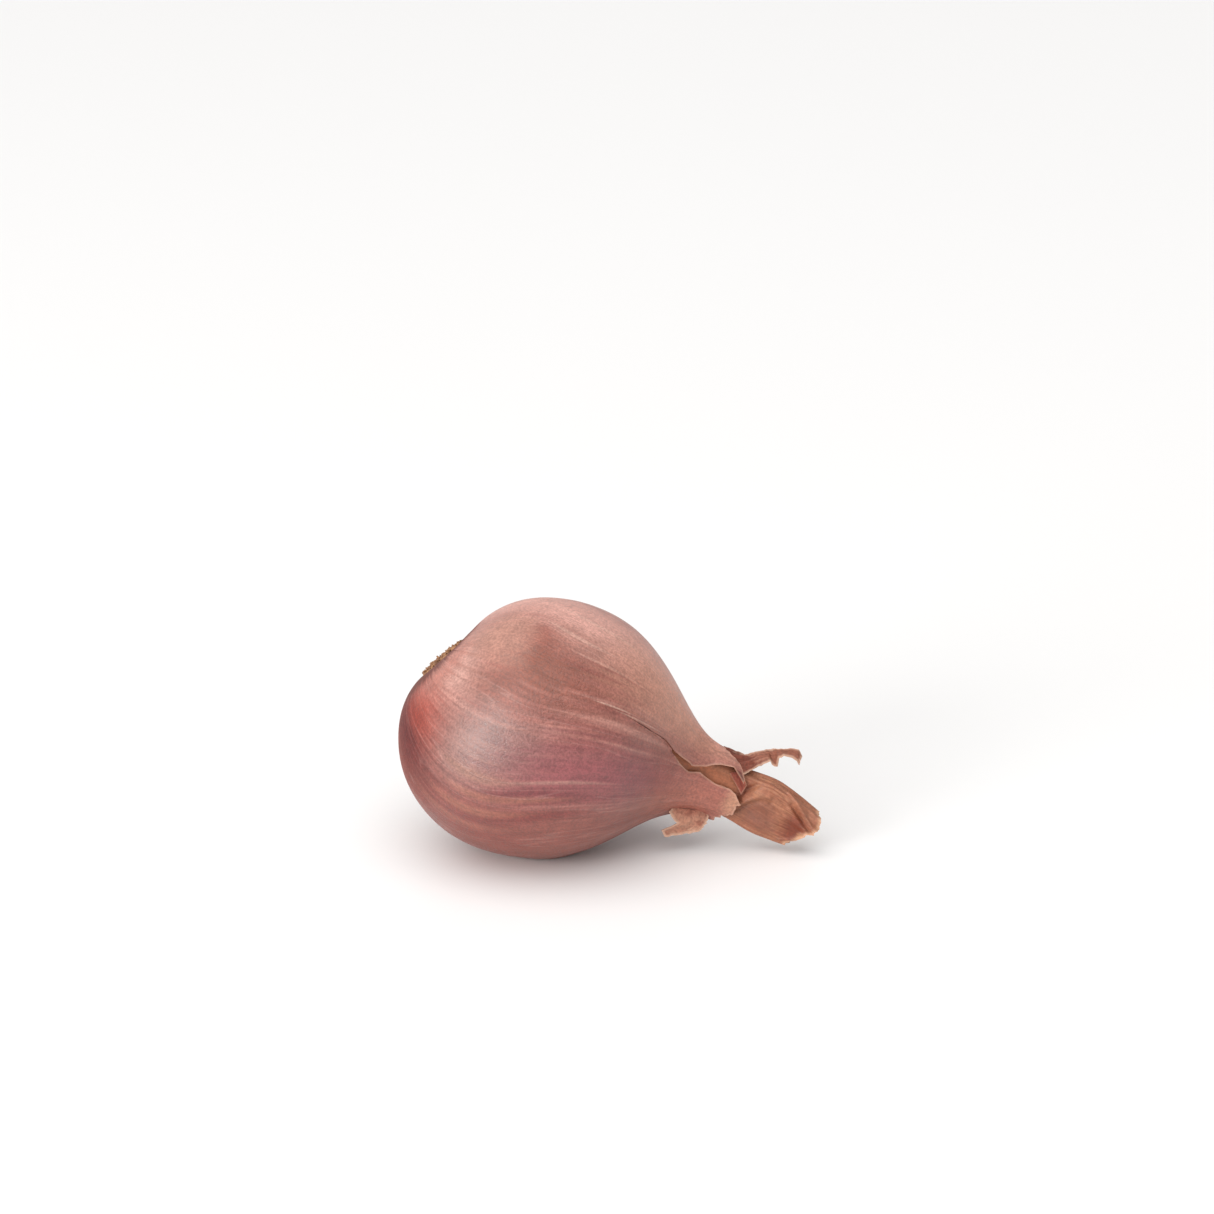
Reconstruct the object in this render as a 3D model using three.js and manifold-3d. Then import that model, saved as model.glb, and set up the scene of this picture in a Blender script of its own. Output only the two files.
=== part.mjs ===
// A shallot lying on its side: the firm bulb with its dry flattened neck, the papery outer
// skin that has split near the neck, torn remnants of older skin, and the corky root plate.
//
// The bulb is a loft. Its upper and its lower outline, drawn in the X-Z plane, share one
// parameter, the place: 0 at the middle of the root end, 12 at the end of the neck, and one
// more at each control point. The section at a place is an ellipse hung between the two
// outlines, and a point of it is given by its angle: 0 on top, 90 at the front (-Y), 180
// underneath, -90 at the back.
//
// Units are millimetres, +Z is up, and z = 0 is the surface that the shallot rests on.

import * as THREE from 'three';
import Module from 'manifold-3d';
import { mergeVertices } from 'three/addons/utils/BufferGeometryUtils.js';

const wasm = await Module();
wasm.setup();

// ---------------------------------------------------------------- driving dimensions

const GAP = 0.4; // clearance between the bulb's surface and the outer skin
const SKIN = 0.6; // thickness of the papery skins
const INSET = GAP + SKIN; // depth of the bulb's surface under the outer skin

const REST_SPOT_X = -0.5; // middle of the flat that the shallot rests on
const REST_FLAT = [4.6, 8.4]; // distances from it: how far it is flat, and where the flattening ends

// control points of the two outlines, from the root end to the end of the neck: x, z
const UPPER_OUTLINE = [
  [-17.5, 29.6],
  [-14.5, 33.0],
  [-12.0, 36.5],
  [-8.4, 39.0],
  [-4.3, 40.7],
  [-0.5, 41.2],
  [2.4, 41.0],
  [6.7, 40.3],
  [14.6, 36.7],
  [20.8, 28.0],
  [25.2, 17.2],
  [36.3, 12.9],
  [45.0, 5.6],
];
const LOWER_OUTLINE = [
  [-17.5, 29.6],
  [-21.3, 27.1],
  [-23.5, 23.4],
  [-24.1, 19.3],
  [-23.7, 14.2],
  [-21.2, 8.5],
  [-15.5, 2.6],
  [-6.4, -0.5],
  [2.7, -0.6],
  [11.6, 2.9],
  [21.1, 7.7],
  [31.5, 3.3],
  [41.8, 0.1],
];
const LAST_PLACE = UPPER_OUTLINE.length - 1;

// the neck bends to the front, ever more towards its end
const BENDS_FROM = 9;
const BEND = 3.3; // at its end

// the section is round at the bulb and flattened front to back along the neck
const FLATTENS_FROM = 8.2;
const FLATTENS_TO = 11;
const NECK_FLATNESS = 0.54; // depth over height

const SPLIT_START = 8.2; // place where the outer skin parts

// the two edges of the split: place, angle
const UPPER_EDGE = [
  [0, 46],
  [7.5, 51],
  [8.2, 54],
  [9.0, 56],
  [9.3, 62],
  [9.7, 66],
  [9.95, 60],
  [10.2, 46],
  [10.4, 42],
  [10.55, 52],
  [10.7, 63],
];
const LOWER_EDGE = [
  [0, 46],
  [7.5, 51],
  [8.2, 54],
  [8.9, 58],
  [9.3, 65],
  [9.75, 74],
  [9.95, 69],
  [10.25, 76],
  [10.5, 76],
  [10.6, 80],
  [10.72, 93],
];

// where the outer skin is torn off at the neck: angle, place
const SKIN_END = [
  [-267, 10.71],
  [-248, 10.68],
  [-231, 10.66],
  [-208, 10.63],
  [-193, 10.5],
  [-180, 10.36],
  [-155, 10.56],
  [-130, 10.38],
  [-105, 10.52],
  [-75, 10.33],
  [-40, 10.38],
  [-10, 10.2],
  [11, 10.21],
  [25, 10.34],
  [40, 10.54],
  [50, 10.63],
  [63, 10.69],
];

// where the neck ends: angle, place (its front is torn back, so its mouth shows)
const NECK_END = [
  [-180, 11.6],
  [-140, 11.75],
  [-90, 11.95],
  [-30, 11.95],
  [27, 11.89],
  [36, 11.8],
  [50, 11.7],
  [64, 11.6],
  [77, 11.5],
  [98, 11.4],
  [110, 11.5],
  [124, 11.64],
  [148, 11.69],
  [180, 11.6],
];
const NECK_WALL = 0.8; // thickness of the neck round its mouth
const MOUTH_FLOOR = 11.05; // place that the mouth of the neck reaches back to

// the fold along the neck, between its top and its front: place, angle
const NECK_FOLD = [
  [10.4, 98],
  [10.75, 91],
  [10.87, 60],
  [11, 46],
  [11.3, 38],
  [12, 34],
];
const FOLD_HEIGHT = 0.55;
const FOLD_HALF_WIDTH = 20; // degrees

const GATHERS = 9; // lengthwise folds round the neck
const GATHER_DEPTH = 0.16;

// places between which a feature of the surface grows from nothing to its full height
const GROWTH = {
  gathers: [9.2, 10.4],
  fold: [10.55, 11],
  bulbRises: [10.5, 11.2], // the bulb's surface comes up to the loft past the end of the skin
  skinFlare: [9.8, 10.7],
  upperFlap: [8.9, 9.9],
  lowerFlap: [9.2, 10],
};

// how far the torn end of the outer skin gapes, and how far its two flaps lift at their edges
const SKIN_FLARE = 0.55;
const UPPER_FLAP = { lift: 0.95, halfWidth: 26 }; // halfWidth in degrees
const LOWER_FLAP = { lift: 0.2, halfWidth: 20 };

// a torn leaf of older skin that lies on the neck and stands off it to the right:
// place along it, then x, y, z of its far edge and x, y, z of its near edge
const TORN_LEAF = [
  [0.0, 29.3, 0.6, 16.2, 31.9, -3.0, 13.8],
  [0.1, 30.2, 0.6, 15.7, 32.5, -2.6, 14.0],
  [0.2, 31.3, 0.4, 15.2, 33.4, -1.9, 14.4],
  [0.32, 32.4, 0.3, 15.7, 34.4, -1.7, 14.7],
  [0.46, 34.0, 0.2, 16.3, 35.6, -1.5, 15.2],
  [0.56, 35.1, 0.1, 16.5, 36.0, -1.3, 15.1],
  [0.62, 35.7, 0.1, 16.55, 36.5, -1.2, 14.2],
  [0.68, 36.3, 0.1, 16.6, 36.9, -1.4, 15.5],
  [0.77, 37.2, 0.0, 16.7, 37.8, -1.4, 16.0],
  [0.87, 38.8, -0.1, 16.7, 38.9, -1.5, 15.7],
  [1.0, 40.8, -0.3, 16.3, 40.3, -1.7, 15.0],
];

// a shred of older skin that hangs under the neck: place from its top down to its torn end,
// then x, y, z of its left edge and of its right edge
const HANGING_SHRED = [
  [0.0, 19.2, -4.7, 6.9, 25.7, -3.3, 5.4],
  [0.25, 19.9, -4.5, 6.3, 25.4, -3.2, 5.0],
  [0.5, 20.7, -4.3, 5.5, 25.1, -3.1, 4.6],
  [0.75, 18.3, -4.2, 4.3, 24.8, -3.1, 4.2],
  [1.0, 18.6, -4.2, 3.2, 24.2, -3.1, 3.7],
];

// the loose tip of an inner skin, folded out under the upper flap: place along it, then the
// bulb's place and angle at its left edge and at its right edge
const INNER_TIP = [
  [0.0, 10.4, 50, 10.52, 41],
  [0.35, 10.5, 60, 10.64, 49],
  [0.7, 10.6, 70, 10.7, 58],
  [1.0, 10.68, 78, 10.69, 70],
];
const INNER_TIP_BOW = 0.05; // its arch over its width
const TORN_LEAF_BOW = 0.12;

const ROOT_TURN = 20; // the root end is turned this far back, in degrees about the upright
const ROOT_TURN_PLACES = [0.8, 5]; // all of it up to the first place, none from the second on
const ROOT_HOLE_PLACE = 1.15; // edge of the outer skin's opening round the root plate

// the corky root plate from its outer face to its inner one: depth below the root end, radius
const ROOT_PLATE = [
  [-1.0, 1.6],
  [-0.9, 3.2],
  [-0.6, 4.2],
  [-0.3, 4.5],
  [0.15, 4.3],
];
const ROOT_PLATE_POLES = [-1.05, 0.25]; // depth of the middle of its two faces
const ROOT_PLATE_LOBES = 5;
const ROOT_PLATE_LOBE_SHARE = 0.04; // of its radius

// the cut-off roots on the plate's outer face
const ROOT_STUBS = 18;
const ROOT_STUB_LENGTH = [0.4, 1.3];
const ROOT_STUB_RADIUS = 0.42;
const ROOT_STUB_TAPER = 0.6; // radius of its tip over that of its foot
const ROOT_STUB_SUNK = 0.5; // length inside the plate
const ROOT_STUB_SPREAD = 1.25; // a tip's distance from the plate's middle over its foot's
const ROOT_STUBS_RADIUS = 3.7; // of the outermost feet

// ---------------------------------------------------------------- curves

// A smooth curve (a uniform cubic B-spline) drawn by control points, x = 0 at the first one and
// one more at each next one. It starts and ends on the first and the last.
function splineOf(points, column) {
  const values = points.map((point) => point[column]);
  const last = values.length - 1;
  const control = [2 * values[0] - values[1], ...values, 2 * values[last] - values[last - 1]];
  return (x) => {
    const i = THREE.MathUtils.clamp(Math.floor(x), 0, last - 1);
    const t = x - i;
    const weights = [
      (1 - t) ** 3,
      3 * t ** 3 - 6 * t ** 2 + 4,
      -3 * t ** 3 + 3 * t ** 2 + 3 * t + 1,
      t ** 3,
    ];
    return weights.reduce((sum, weight, k) => sum + (weight * control[i + k]) / 6, 0);
  };
}

// A table of [x, ..., y, ...] rows joined by straight lines. It stays level past its ends.
function linesThrough(rows, column = 1) {
  return (x) => {
    const next = rows.findIndex((row) => row[0] > x);
    if (next === 0) return rows[0][column];
    if (next < 0) return rows[rows.length - 1][column];
    const before = rows[next - 1];
    const after = rows[next];
    return THREE.MathUtils.mapLinear(x, before[0], after[0], before[column], after[column]);
  };
}

// 0 below start, 1 above end, smooth between
const ramp = (x, start, end) => THREE.MathUtils.smoothstep(x, start, end);

// a hill of height 1 about 0
const hill = (x, halfWidth) => Math.exp(-((x / halfWidth) ** 2));

// the angle from one direction to another, between -180 and 180
const turnBetween = (from, to) => THREE.MathUtils.euclideanModulo(to - from + 180, 360) - 180;

const upperX = splineOf(UPPER_OUTLINE, 0);
const upperZ = splineOf(UPPER_OUTLINE, 1);
const lowerX = splineOf(LOWER_OUTLINE, 0);
const lowerZ = splineOf(LOWER_OUTLINE, 1);
const bendAt = (place) => BEND * (Math.max(place - BENDS_FROM, 0) / (LAST_PLACE - BENDS_FROM)) ** 2;
const flatnessAt = (place) => 1 - (1 - NECK_FLATNESS) * ramp(place, FLATTENS_FROM, FLATTENS_TO);
const upperEdge = linesThrough(UPPER_EDGE);
const lowerEdge = linesThrough(LOWER_EDGE);
const skinEnd = linesThrough(SKIN_END);
const neckEnd = linesThrough(NECK_END);
const neckFold = linesThrough(NECK_FOLD);

// ---------------------------------------------------------------- the bulb's surface

const UPRIGHT = new THREE.Vector3(0, 0, 1);

// The smooth loft's point at a place and an angle.
function smoothPoint(place, angle) {
  const upper = new THREE.Vector3(upperX(place), -bendAt(place), upperZ(place));
  const lower = new THREE.Vector3(lowerX(place), -bendAt(place), lowerZ(place));
  const middle = upper.clone().add(lower).multiplyScalar(0.5);
  const halfHeight = upper.sub(middle);
  const halfDepth = halfHeight.length() * flatnessAt(place);
  const turn = THREE.MathUtils.degToRad(angle);
  middle.y -= halfDepth * Math.sin(turn);
  const rootTurn = THREE.MathUtils.degToRad(ROOT_TURN) * (1 - ramp(place, ...ROOT_TURN_PLACES));
  return middle.addScaledVector(halfHeight, Math.cos(turn)).applyAxisAngle(UPRIGHT, -rootTurn);
}

function middlePoint(place) {
  return smoothPoint(place, 0).lerp(smoothPoint(place, 180), 0.5);
}

function outwardNormal(place, angle) {
  const step = 0.05;
  const turn = 3;
  const lengthwise = smoothPoint(place + step, angle).sub(smoothPoint(place - step, angle));
  const crosswise = smoothPoint(place, angle + turn).sub(smoothPoint(place, angle - turn));
  return crosswise.cross(lengthwise).normalize();
}

// Height of the gathers and of the neck's fold over the smooth loft.
function relief(place, angle) {
  const wave = Math.cos(THREE.MathUtils.degToRad(GATHERS * angle));
  const crest = hill(turnBetween(neckFold(place), angle), FOLD_HALF_WIDTH);
  const gathers = GATHER_DEPTH * wave * ramp(place, ...GROWTH.gathers);
  return gathers + FOLD_HEIGHT * crest * ramp(place, ...GROWTH.fold);
}

// The surface's point at a place and an angle, moved out by `out`.
function surfacePoint(place, angle, out = 0) {
  const height = relief(place, angle) + out;
  return smoothPoint(place, angle).addScaledVector(outwardNormal(place, angle), height);
}

// ---------------------------------------------------------------- closed bodies

class Body {
  constructor() {
    this.positions = [];
    this.indices = [];
  }

  add(point) {
    this.positions.push(point.x, point.y, point.z);
    return this.positions.length / 3 - 1;
  }

  quad(a, b, c, d) {
    this.indices.push(a, b, c, a, c, d);
  }

  geometry() {
    const loose = new THREE.BufferGeometry();
    loose.setAttribute('position', new THREE.Float32BufferAttribute(this.positions, 3));
    loose.setIndex(this.indices);
    return mergeVertices(loose, 1e-3);
  }
}

// A sheet with a thickness. face(row, column) and back(row, column) give its two sides. Rows up
// to closedRow join their first column to their last, so the sheet is a tube there.
function sheetBody(rows, columns, face, back, closedRow = 0) {
  const body = new Body();
  const grid = (side) => {
    const corners = [];
    for (let row = 0; row <= rows; row += 1) {
      const line = [];
      for (let column = 0; column <= columns; column += 1) line.push(body.add(side(row, column)));
      corners.push(line);
    }
    return corners;
  };
  const f = grid(face);
  const b = grid(back);
  for (let i = 0; i < rows; i += 1) {
    for (let j = 0; j < columns; j += 1) {
      body.quad(f[i][j], f[i + 1][j], f[i + 1][j + 1], f[i][j + 1]);
      body.quad(b[i][j], b[i][j + 1], b[i + 1][j + 1], b[i + 1][j]);
    }
  }
  for (let j = 0; j < columns; j += 1) {
    body.quad(f[0][j], f[0][j + 1], b[0][j + 1], b[0][j]);
    body.quad(f[rows][j], b[rows][j], b[rows][j + 1], f[rows][j + 1]);
  }
  for (let i = closedRow; i < rows; i += 1) {
    body.quad(f[i][0], b[i][0], b[i + 1][0], f[i + 1][0]);
    body.quad(f[i][columns], f[i + 1][columns], b[i + 1][columns], b[i][columns]);
  }
  return body.geometry();
}

// A body of rings from one pole to the other. ring(row, column) gives a ring's points.
function ringBody(firstPole, lastPole, rings, columns, ring) {
  const body = new Body();
  const start = body.add(firstPole);
  const lines = [];
  for (let row = 0; row < rings; row += 1) {
    const line = [];
    for (let column = 0; column < columns; column += 1) line.push(body.add(ring(row, column)));
    lines.push(line);
  }
  const end = body.add(lastPole);
  for (let j = 0; j < columns; j += 1) {
    const k = (j + 1) % columns;
    body.indices.push(start, lines[0][j], lines[0][k]);
    for (let i = 0; i < rings - 1; i += 1) {
      body.quad(lines[i][j], lines[i + 1][j], lines[i + 1][k], lines[i][k]);
    }
    body.indices.push(end, lines[rings - 1][k], lines[rings - 1][j]);
  }
  return body.geometry();
}

function raisedTo(lowest, point) {
  point.z = Math.max(point.z, lowest);
  return point;
}

// Lets nothing go below a height, and flattens what lies round the rest spot down to it.
function restedOn(lowest, point) {
  const distance = point.distanceTo(new THREE.Vector3(REST_SPOT_X, 0, lowest));
  point.z = lowest + Math.max(point.z - lowest, 0) * ramp(distance, ...REST_FLAT);
  return point;
}

// ---------------------------------------------------------------- bulb

const AROUND = 40; // facets round the bulb and the skin
const BULB_ROWS = 34;
const MOUTH_ROWS = 5;
const BULB_FIRST_PLACE = 0.6;
const MOUTH_FLOOR_DISH = 0.05; // how much further back the middle of the mouth's floor lies

// depth of the bulb's surface below the loft
const bulbDepth = (place) => INSET * (1 - ramp(place, ...GROWTH.bulbRises));

function bulbGeometry() {
  const bulbPoint = (place, angle, extra) =>
    raisedTo(INSET, surfacePoint(place, angle, -bulbDepth(place) - extra));
  const ring = (row, column) => {
    const angle = 180 - (360 * column) / AROUND;
    const end = neckEnd(angle);
    if (row < BULB_ROWS) {
      return bulbPoint(THREE.MathUtils.lerp(BULB_FIRST_PLACE, end, row / (BULB_ROWS - 1)), angle, 0);
    }
    const share = (row - BULB_ROWS) / (MOUTH_ROWS - 1);
    return bulbPoint(THREE.MathUtils.lerp(end, MOUTH_FLOOR, share), angle, NECK_WALL);
  };
  const floor = middlePoint(MOUTH_FLOOR - MOUTH_FLOOR_DISH);
  return ringBody(rootPoint(INSET, 0, 0), floor, BULB_ROWS + MOUTH_ROWS, AROUND, ring);
}

// ---------------------------------------------------------------- outer skin

const WHOLE_ROWS = 20; // from the root opening to the start of the split
const SPLIT_ROWS = 9; // from there to where the rows begin to follow the torn end
const TORN_ROWS = 9;
const TORN_FROM = 9.9;
const TORN_END_PLACE = 10.6; // the torn end lies about here

// How far the skin stands off the loft: its torn end gapes a little, and the flaps lift along
// the split.
function skinLift(place, angle) {
  const flapLift = ({ lift, halfWidth }, degreesInside) =>
    degreesInside > -1 ? lift * hill(degreesInside, halfWidth) : 0;
  const flare = SKIN_FLARE * ramp(place, ...GROWTH.skinFlare);
  const upper = flapLift(UPPER_FLAP, turnBetween(angle, upperEdge(place)));
  const lower = flapLift(LOWER_FLAP, turnBetween(lowerEdge(place), angle));
  return flare + upper * ramp(place, ...GROWTH.upperFlap) + lower * ramp(place, ...GROWTH.lowerFlap);
}

function outerSkinGeometry() {
  // from the upper edge of the split over the top, round the back and underneath to the lower
  const angleOf = (column, place) => {
    const opening = lowerEdge(place) - upperEdge(place);
    return upperEdge(place) - (column / AROUND) * (360 - opening);
  };
  const placeOf = (row, column) => {
    const { lerp } = THREE.MathUtils;
    const tornRow = WHOLE_ROWS + SPLIT_ROWS;
    if (row <= WHOLE_ROWS) return lerp(ROOT_HOLE_PLACE, SPLIT_START, row / WHOLE_ROWS);
    if (row <= tornRow) return lerp(SPLIT_START, TORN_FROM, (row - WHOLE_ROWS) / SPLIT_ROWS);
    const end = skinEnd(angleOf(column, TORN_END_PLACE));
    return lerp(TORN_FROM, end, (row - tornRow) / TORN_ROWS);
  };
  const side = (depth) => (row, column) => {
    const place = placeOf(row, column);
    const angle = angleOf(column, place);
    return restedOn(depth, surfacePoint(place, angle, skinLift(place, angle) - depth));
  };
  return sheetBody(WHOLE_ROWS + SPLIT_ROWS + TORN_ROWS, AROUND, side(0), side(SKIN), WHOLE_ROWS);
}

// ---------------------------------------------------------------- torn remnants

// The middle surface of a sheet between two edges: at(along, across), both from 0 to 1. It is
// arched by `bow` of its width.
function between(leftAt, rightAt, bow) {
  return (along, across) => {
    const left = leftAt(along);
    const right = rightAt(along);
    const point = left.clone().lerp(right, across);
    point.z += bow * Math.sin(Math.PI * across) * left.distanceTo(right);
    return point;
  };
}

// A papery sheet of even thickness about its middle surface.
function paperBody(rows, columns, at) {
  const step = 0.01;
  const side = (sign) => (row, column) => {
    const along = row / rows;
    const across = column / columns;
    const lengthwise = at(along + step, across).sub(at(along - step, across));
    const crosswise = at(along, across + step).sub(at(along, across - step));
    const normal = lengthwise.cross(crosswise).normalize();
    return at(along, across).addScaledVector(normal, (sign * SKIN) / 2);
  };
  return sheetBody(rows, columns, side(1), side(-1));
}

// A sheet whose table gives x, y, z of one edge and then of the other.
function sheetFromTable(table, rows, columns, bow) {
  const edge = (firstColumn) => {
    const axes = [0, 1, 2].map((axis) => linesThrough(table, firstColumn + axis));
    return (along) => new THREE.Vector3(...axes.map((axis) => axis(along)));
  };
  return paperBody(rows, columns, between(edge(1), edge(4), bow));
}

function innerTipGeometry() {
  const edge = (firstColumn) => {
    const place = linesThrough(INNER_TIP, firstColumn);
    const angle = linesThrough(INNER_TIP, firstColumn + 1);
    return (along) => surfacePoint(place(along), angle(along));
  };
  return paperBody(8, 3, between(edge(1), edge(3), INNER_TIP_BOW));
}

// ---------------------------------------------------------------- root plate

// The root end's own directions: up along its face, to the front, and into the bulb.
const rootUp = smoothPoint(1, 0).sub(smoothPoint(1, 180)).normalize();
const rootFront = smoothPoint(1, 90).sub(smoothPoint(1, -90)).normalize();
const rootInward = new THREE.Vector3().crossVectors(rootUp, rootFront);

function rootPoint(depth, radius, angle) {
  const turn = THREE.MathUtils.degToRad(angle);
  return smoothPoint(0, 0)
    .addScaledVector(rootInward, depth)
    .addScaledVector(rootUp, radius * Math.cos(turn))
    .addScaledVector(rootFront, radius * Math.sin(turn));
}

// A small repeatable generator, so that the stubs are the same in every build.
function seededRandom(seed) {
  let state = seed;
  return () => {
    state = (state * 1664525 + 1013904223) % 4294967296;
    return state / 4294967296;
  };
}

function toSolid(geometry) {
  const bare = geometry.clone();
  bare.deleteAttribute('normal');
  bare.deleteAttribute('uv');
  const merged = mergeVertices(bare, 1e-4);
  const mesh = new wasm.Mesh({
    numProp: 3,
    vertProperties: new Float32Array(merged.attributes.position.array),
    triVerts: new Uint32Array(merged.index.array),
  });
  return new wasm.Manifold(mesh);
}

function fromSolid(solid) {
  const { numProp, vertProperties, triVerts } = solid.getMesh();
  const geometry = new THREE.BufferGeometry();
  geometry.setAttribute('position', new THREE.Float32BufferAttribute(vertProperties, numProp));
  geometry.setIndex([...triVerts]);
  return geometry;
}

// A cut-off root: a short stub, sunk into the plate's outer face and leaning outwards.
function rootStubGeometry(random, number) {
  const length = THREE.MathUtils.lerp(...ROOT_STUB_LENGTH, random());
  const tipRadius = ROOT_STUB_RADIUS * ROOT_STUB_TAPER;
  const stub = new THREE.CylinderGeometry(tipRadius, ROOT_STUB_RADIUS, length + ROOT_STUB_SUNK, 5);
  stub.translate(0, (length - ROOT_STUB_SUNK) / 2, 0);

  const goldenAngle = 137.5;
  const distance = ROOT_STUBS_RADIUS * Math.sqrt((number + 0.5) / ROOT_STUBS);
  const angle = goldenAngle * number + 14 * random();
  const [topDepth, rimDepth] = [ROOT_PLATE[0][0], ROOT_PLATE[2][0]];
  const faceDepth = THREE.MathUtils.lerp(topDepth, rimDepth, (distance / ROOT_STUBS_RADIUS) ** 2);
  const foot = rootPoint(faceDepth, distance, angle);
  const tip = rootPoint(faceDepth - length, distance * ROOT_STUB_SPREAD, angle);
  const direction = tip.sub(foot).normalize();
  const along = new THREE.Vector3(0, 1, 0);
  stub.applyQuaternion(new THREE.Quaternion().setFromUnitVectors(along, direction));
  return stub.translate(foot.x, foot.y, foot.z);
}

function rootPlateGeometry() {
  const columns = 20;
  const ring = (row, column) => {
    const [depth, radius] = ROOT_PLATE[row];
    const angle = 180 - (360 * column) / columns;
    const dip = Math.cos(THREE.MathUtils.degToRad(ROOT_PLATE_LOBES * angle)) - 1;
    return rootPoint(depth, radius * (1 + ROOT_PLATE_LOBE_SHARE * dip), angle);
  };
  const [outerPole, innerPole] = ROOT_PLATE_POLES.map((depth) => rootPoint(depth, 0, 0));
  const disc = ringBody(outerPole, innerPole, ROOT_PLATE.length, columns, ring);
  const random = seededRandom(7);
  let solid = toSolid(disc);
  for (let number = 0; number < ROOT_STUBS; number += 1) {
    solid = solid.add(toSolid(rootStubGeometry(random, number)));
  }
  return fromSolid(solid);
}

// ---------------------------------------------------------------- assembly

function piece(name, geometry, color, roughness) {
  geometry.computeVertexNormals();
  const mesh = new THREE.Mesh(geometry, new THREE.MeshStandardMaterial({ color, roughness, metalness: 0 }));
  mesh.name = name;
  return mesh;
}

const group = new THREE.Group();
group.add(piece('bulb', bulbGeometry(), 0xa06a4c, 0.6));
group.add(piece('outer_skin', outerSkinGeometry(), 0xa8726a, 0.45));
group.add(piece('inner_tip', innerTipGeometry(), 0x8f5247, 0.6));
group.add(piece('torn_leaf', sheetFromTable(TORN_LEAF, 30, 4, TORN_LEAF_BOW), 0xb57767, 0.6));
group.add(piece('hanging_shred', sheetFromTable(HANGING_SHRED, 8, 6, 0), 0xb4816b, 0.6));
group.add(piece('root_plate', rootPlateGeometry(), 0x8c6a4c, 0.85));

export default group;
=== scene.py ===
"""A shallot lying on its side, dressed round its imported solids.

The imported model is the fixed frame: +X runs from the root end to the neck, +Y away from the torn
side, +Z up, and z = 0 is the surface that the shallot rests on. Every piece of skin is built on
one loft, whose upper and lower outline share a parameter, the place: 0 at the middle of the root
end and 12 at the end of the neck. A point of the loft is given by its place and its angle: 0 on
top, 90 at the front, 180 underneath, -90 at the back.

Shapes are worked out in millimetres and become metres when a mesh is made.
"""

from __future__ import annotations

import logging
import math
from collections.abc import Callable
from dataclasses import dataclass, field
from enum import Enum

import bpy
import numpy as np
from mathutils import Euler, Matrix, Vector
from mathutils.kdtree import KDTree


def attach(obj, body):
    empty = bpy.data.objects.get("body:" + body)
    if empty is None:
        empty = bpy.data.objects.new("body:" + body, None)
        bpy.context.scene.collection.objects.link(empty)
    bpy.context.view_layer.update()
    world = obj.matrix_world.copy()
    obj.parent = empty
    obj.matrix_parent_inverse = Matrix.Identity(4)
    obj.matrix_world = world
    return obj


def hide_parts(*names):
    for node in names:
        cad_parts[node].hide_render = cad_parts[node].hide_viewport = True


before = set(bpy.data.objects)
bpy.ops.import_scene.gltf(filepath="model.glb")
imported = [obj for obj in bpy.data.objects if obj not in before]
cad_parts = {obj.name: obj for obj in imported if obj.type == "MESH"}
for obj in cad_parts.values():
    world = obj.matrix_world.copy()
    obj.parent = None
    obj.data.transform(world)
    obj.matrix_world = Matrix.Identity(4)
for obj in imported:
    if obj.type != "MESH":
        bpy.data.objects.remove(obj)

Array = np.ndarray
Pair = tuple[float, float]
Triple = tuple[float, float, float]
Pattern = tuple[float, float, float]  # fineness round the skin and along it, and detail
Table = tuple[tuple[float, ...], ...]
Color = tuple[float, float, float, float]
Socket = bpy.types.NodeSocket
Given = dict[str, Socket]

MM = 0.001
FAR = 99.0  # millimetres, beyond the reach of any edge or crease
SHARP = 50.0  # degrees between two faces above which their edge is shaded sharp
LOG = logging.getLogger("shallot")


# ---- small helpers


def ramp(x: Array, start: float, end: float) -> Array:
    """Gives 0 below start, 1 above end, and a smooth rise between."""
    t = np.clip((np.asarray(x, float) - start) / (end - start), 0, 1)
    return t * t * (3 - 2 * t)


def hill(x: Array, half_width: float) -> Array:
    """Gives a hill of height 1 about 0."""
    return np.exp(-((np.asarray(x, float) / half_width) ** 2))


def turn_between(start: Array | float, end: Array) -> Array:
    """Gives the angle from one direction to another, between -180 and 180 degrees."""
    return (end - start + 180) % 360 - 180


def lines_through(x: Array, table: Table, column: int = 1) -> Array:
    """Reads a column of a table of rows that start with x, joined by straight lines."""
    rows = np.array(table, float)
    return np.interp(x, rows[:, 0], rows[:, column])


def unit(vectors: Array) -> Array:
    """Gives vectors of length 1."""
    return vectors / (np.linalg.norm(vectors, axis=-1, keepdims=True) + 1e-12)


def same_shape(place: Array, angle: Array) -> list[Array]:
    """Brings places and angles to one shape."""
    return np.broadcast_arrays(np.asarray(place, float), np.asarray(angle, float))


def srgb(code: int) -> Color:
    """Gives the linear colour of a 24-bit colour code."""
    parts = [((code >> shift) & 255) / 255 for shift in (16, 8, 0)]
    return (*(p / 12.92 if p <= 0.04045 else ((p + 0.055) / 1.055) ** 2.4 for p in parts), 1.0)


@dataclass(frozen=True)
class Teeth:
    """An irregular torn line, in three sizes of teeth."""

    seed: int
    step: float  # distance between its largest teeth
    height: float  # of its largest teeth
    sizes: int = 3
    drawn: int = 512  # heights drawn for each size

    def at(self, x: Array) -> Array:
        """Gives the line's height.

        Args:
            x: Where along the line.

        Returns:
            The height at each x.
        """
        total = np.zeros_like(np.asarray(x, float))
        for size in range(self.sizes):
            heights = np.random.default_rng(self.seed + size).uniform(-1, 1, self.drawn)
            along = np.asarray(x, float) * 2**size / self.step
            first = np.floor(along).astype(int)
            share = along - first
            start, end = heights[first % self.drawn], heights[(first + 1) % self.drawn]
            total += (start * (1 - share) + end * share) * self.height / 2**size
        return total


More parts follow.
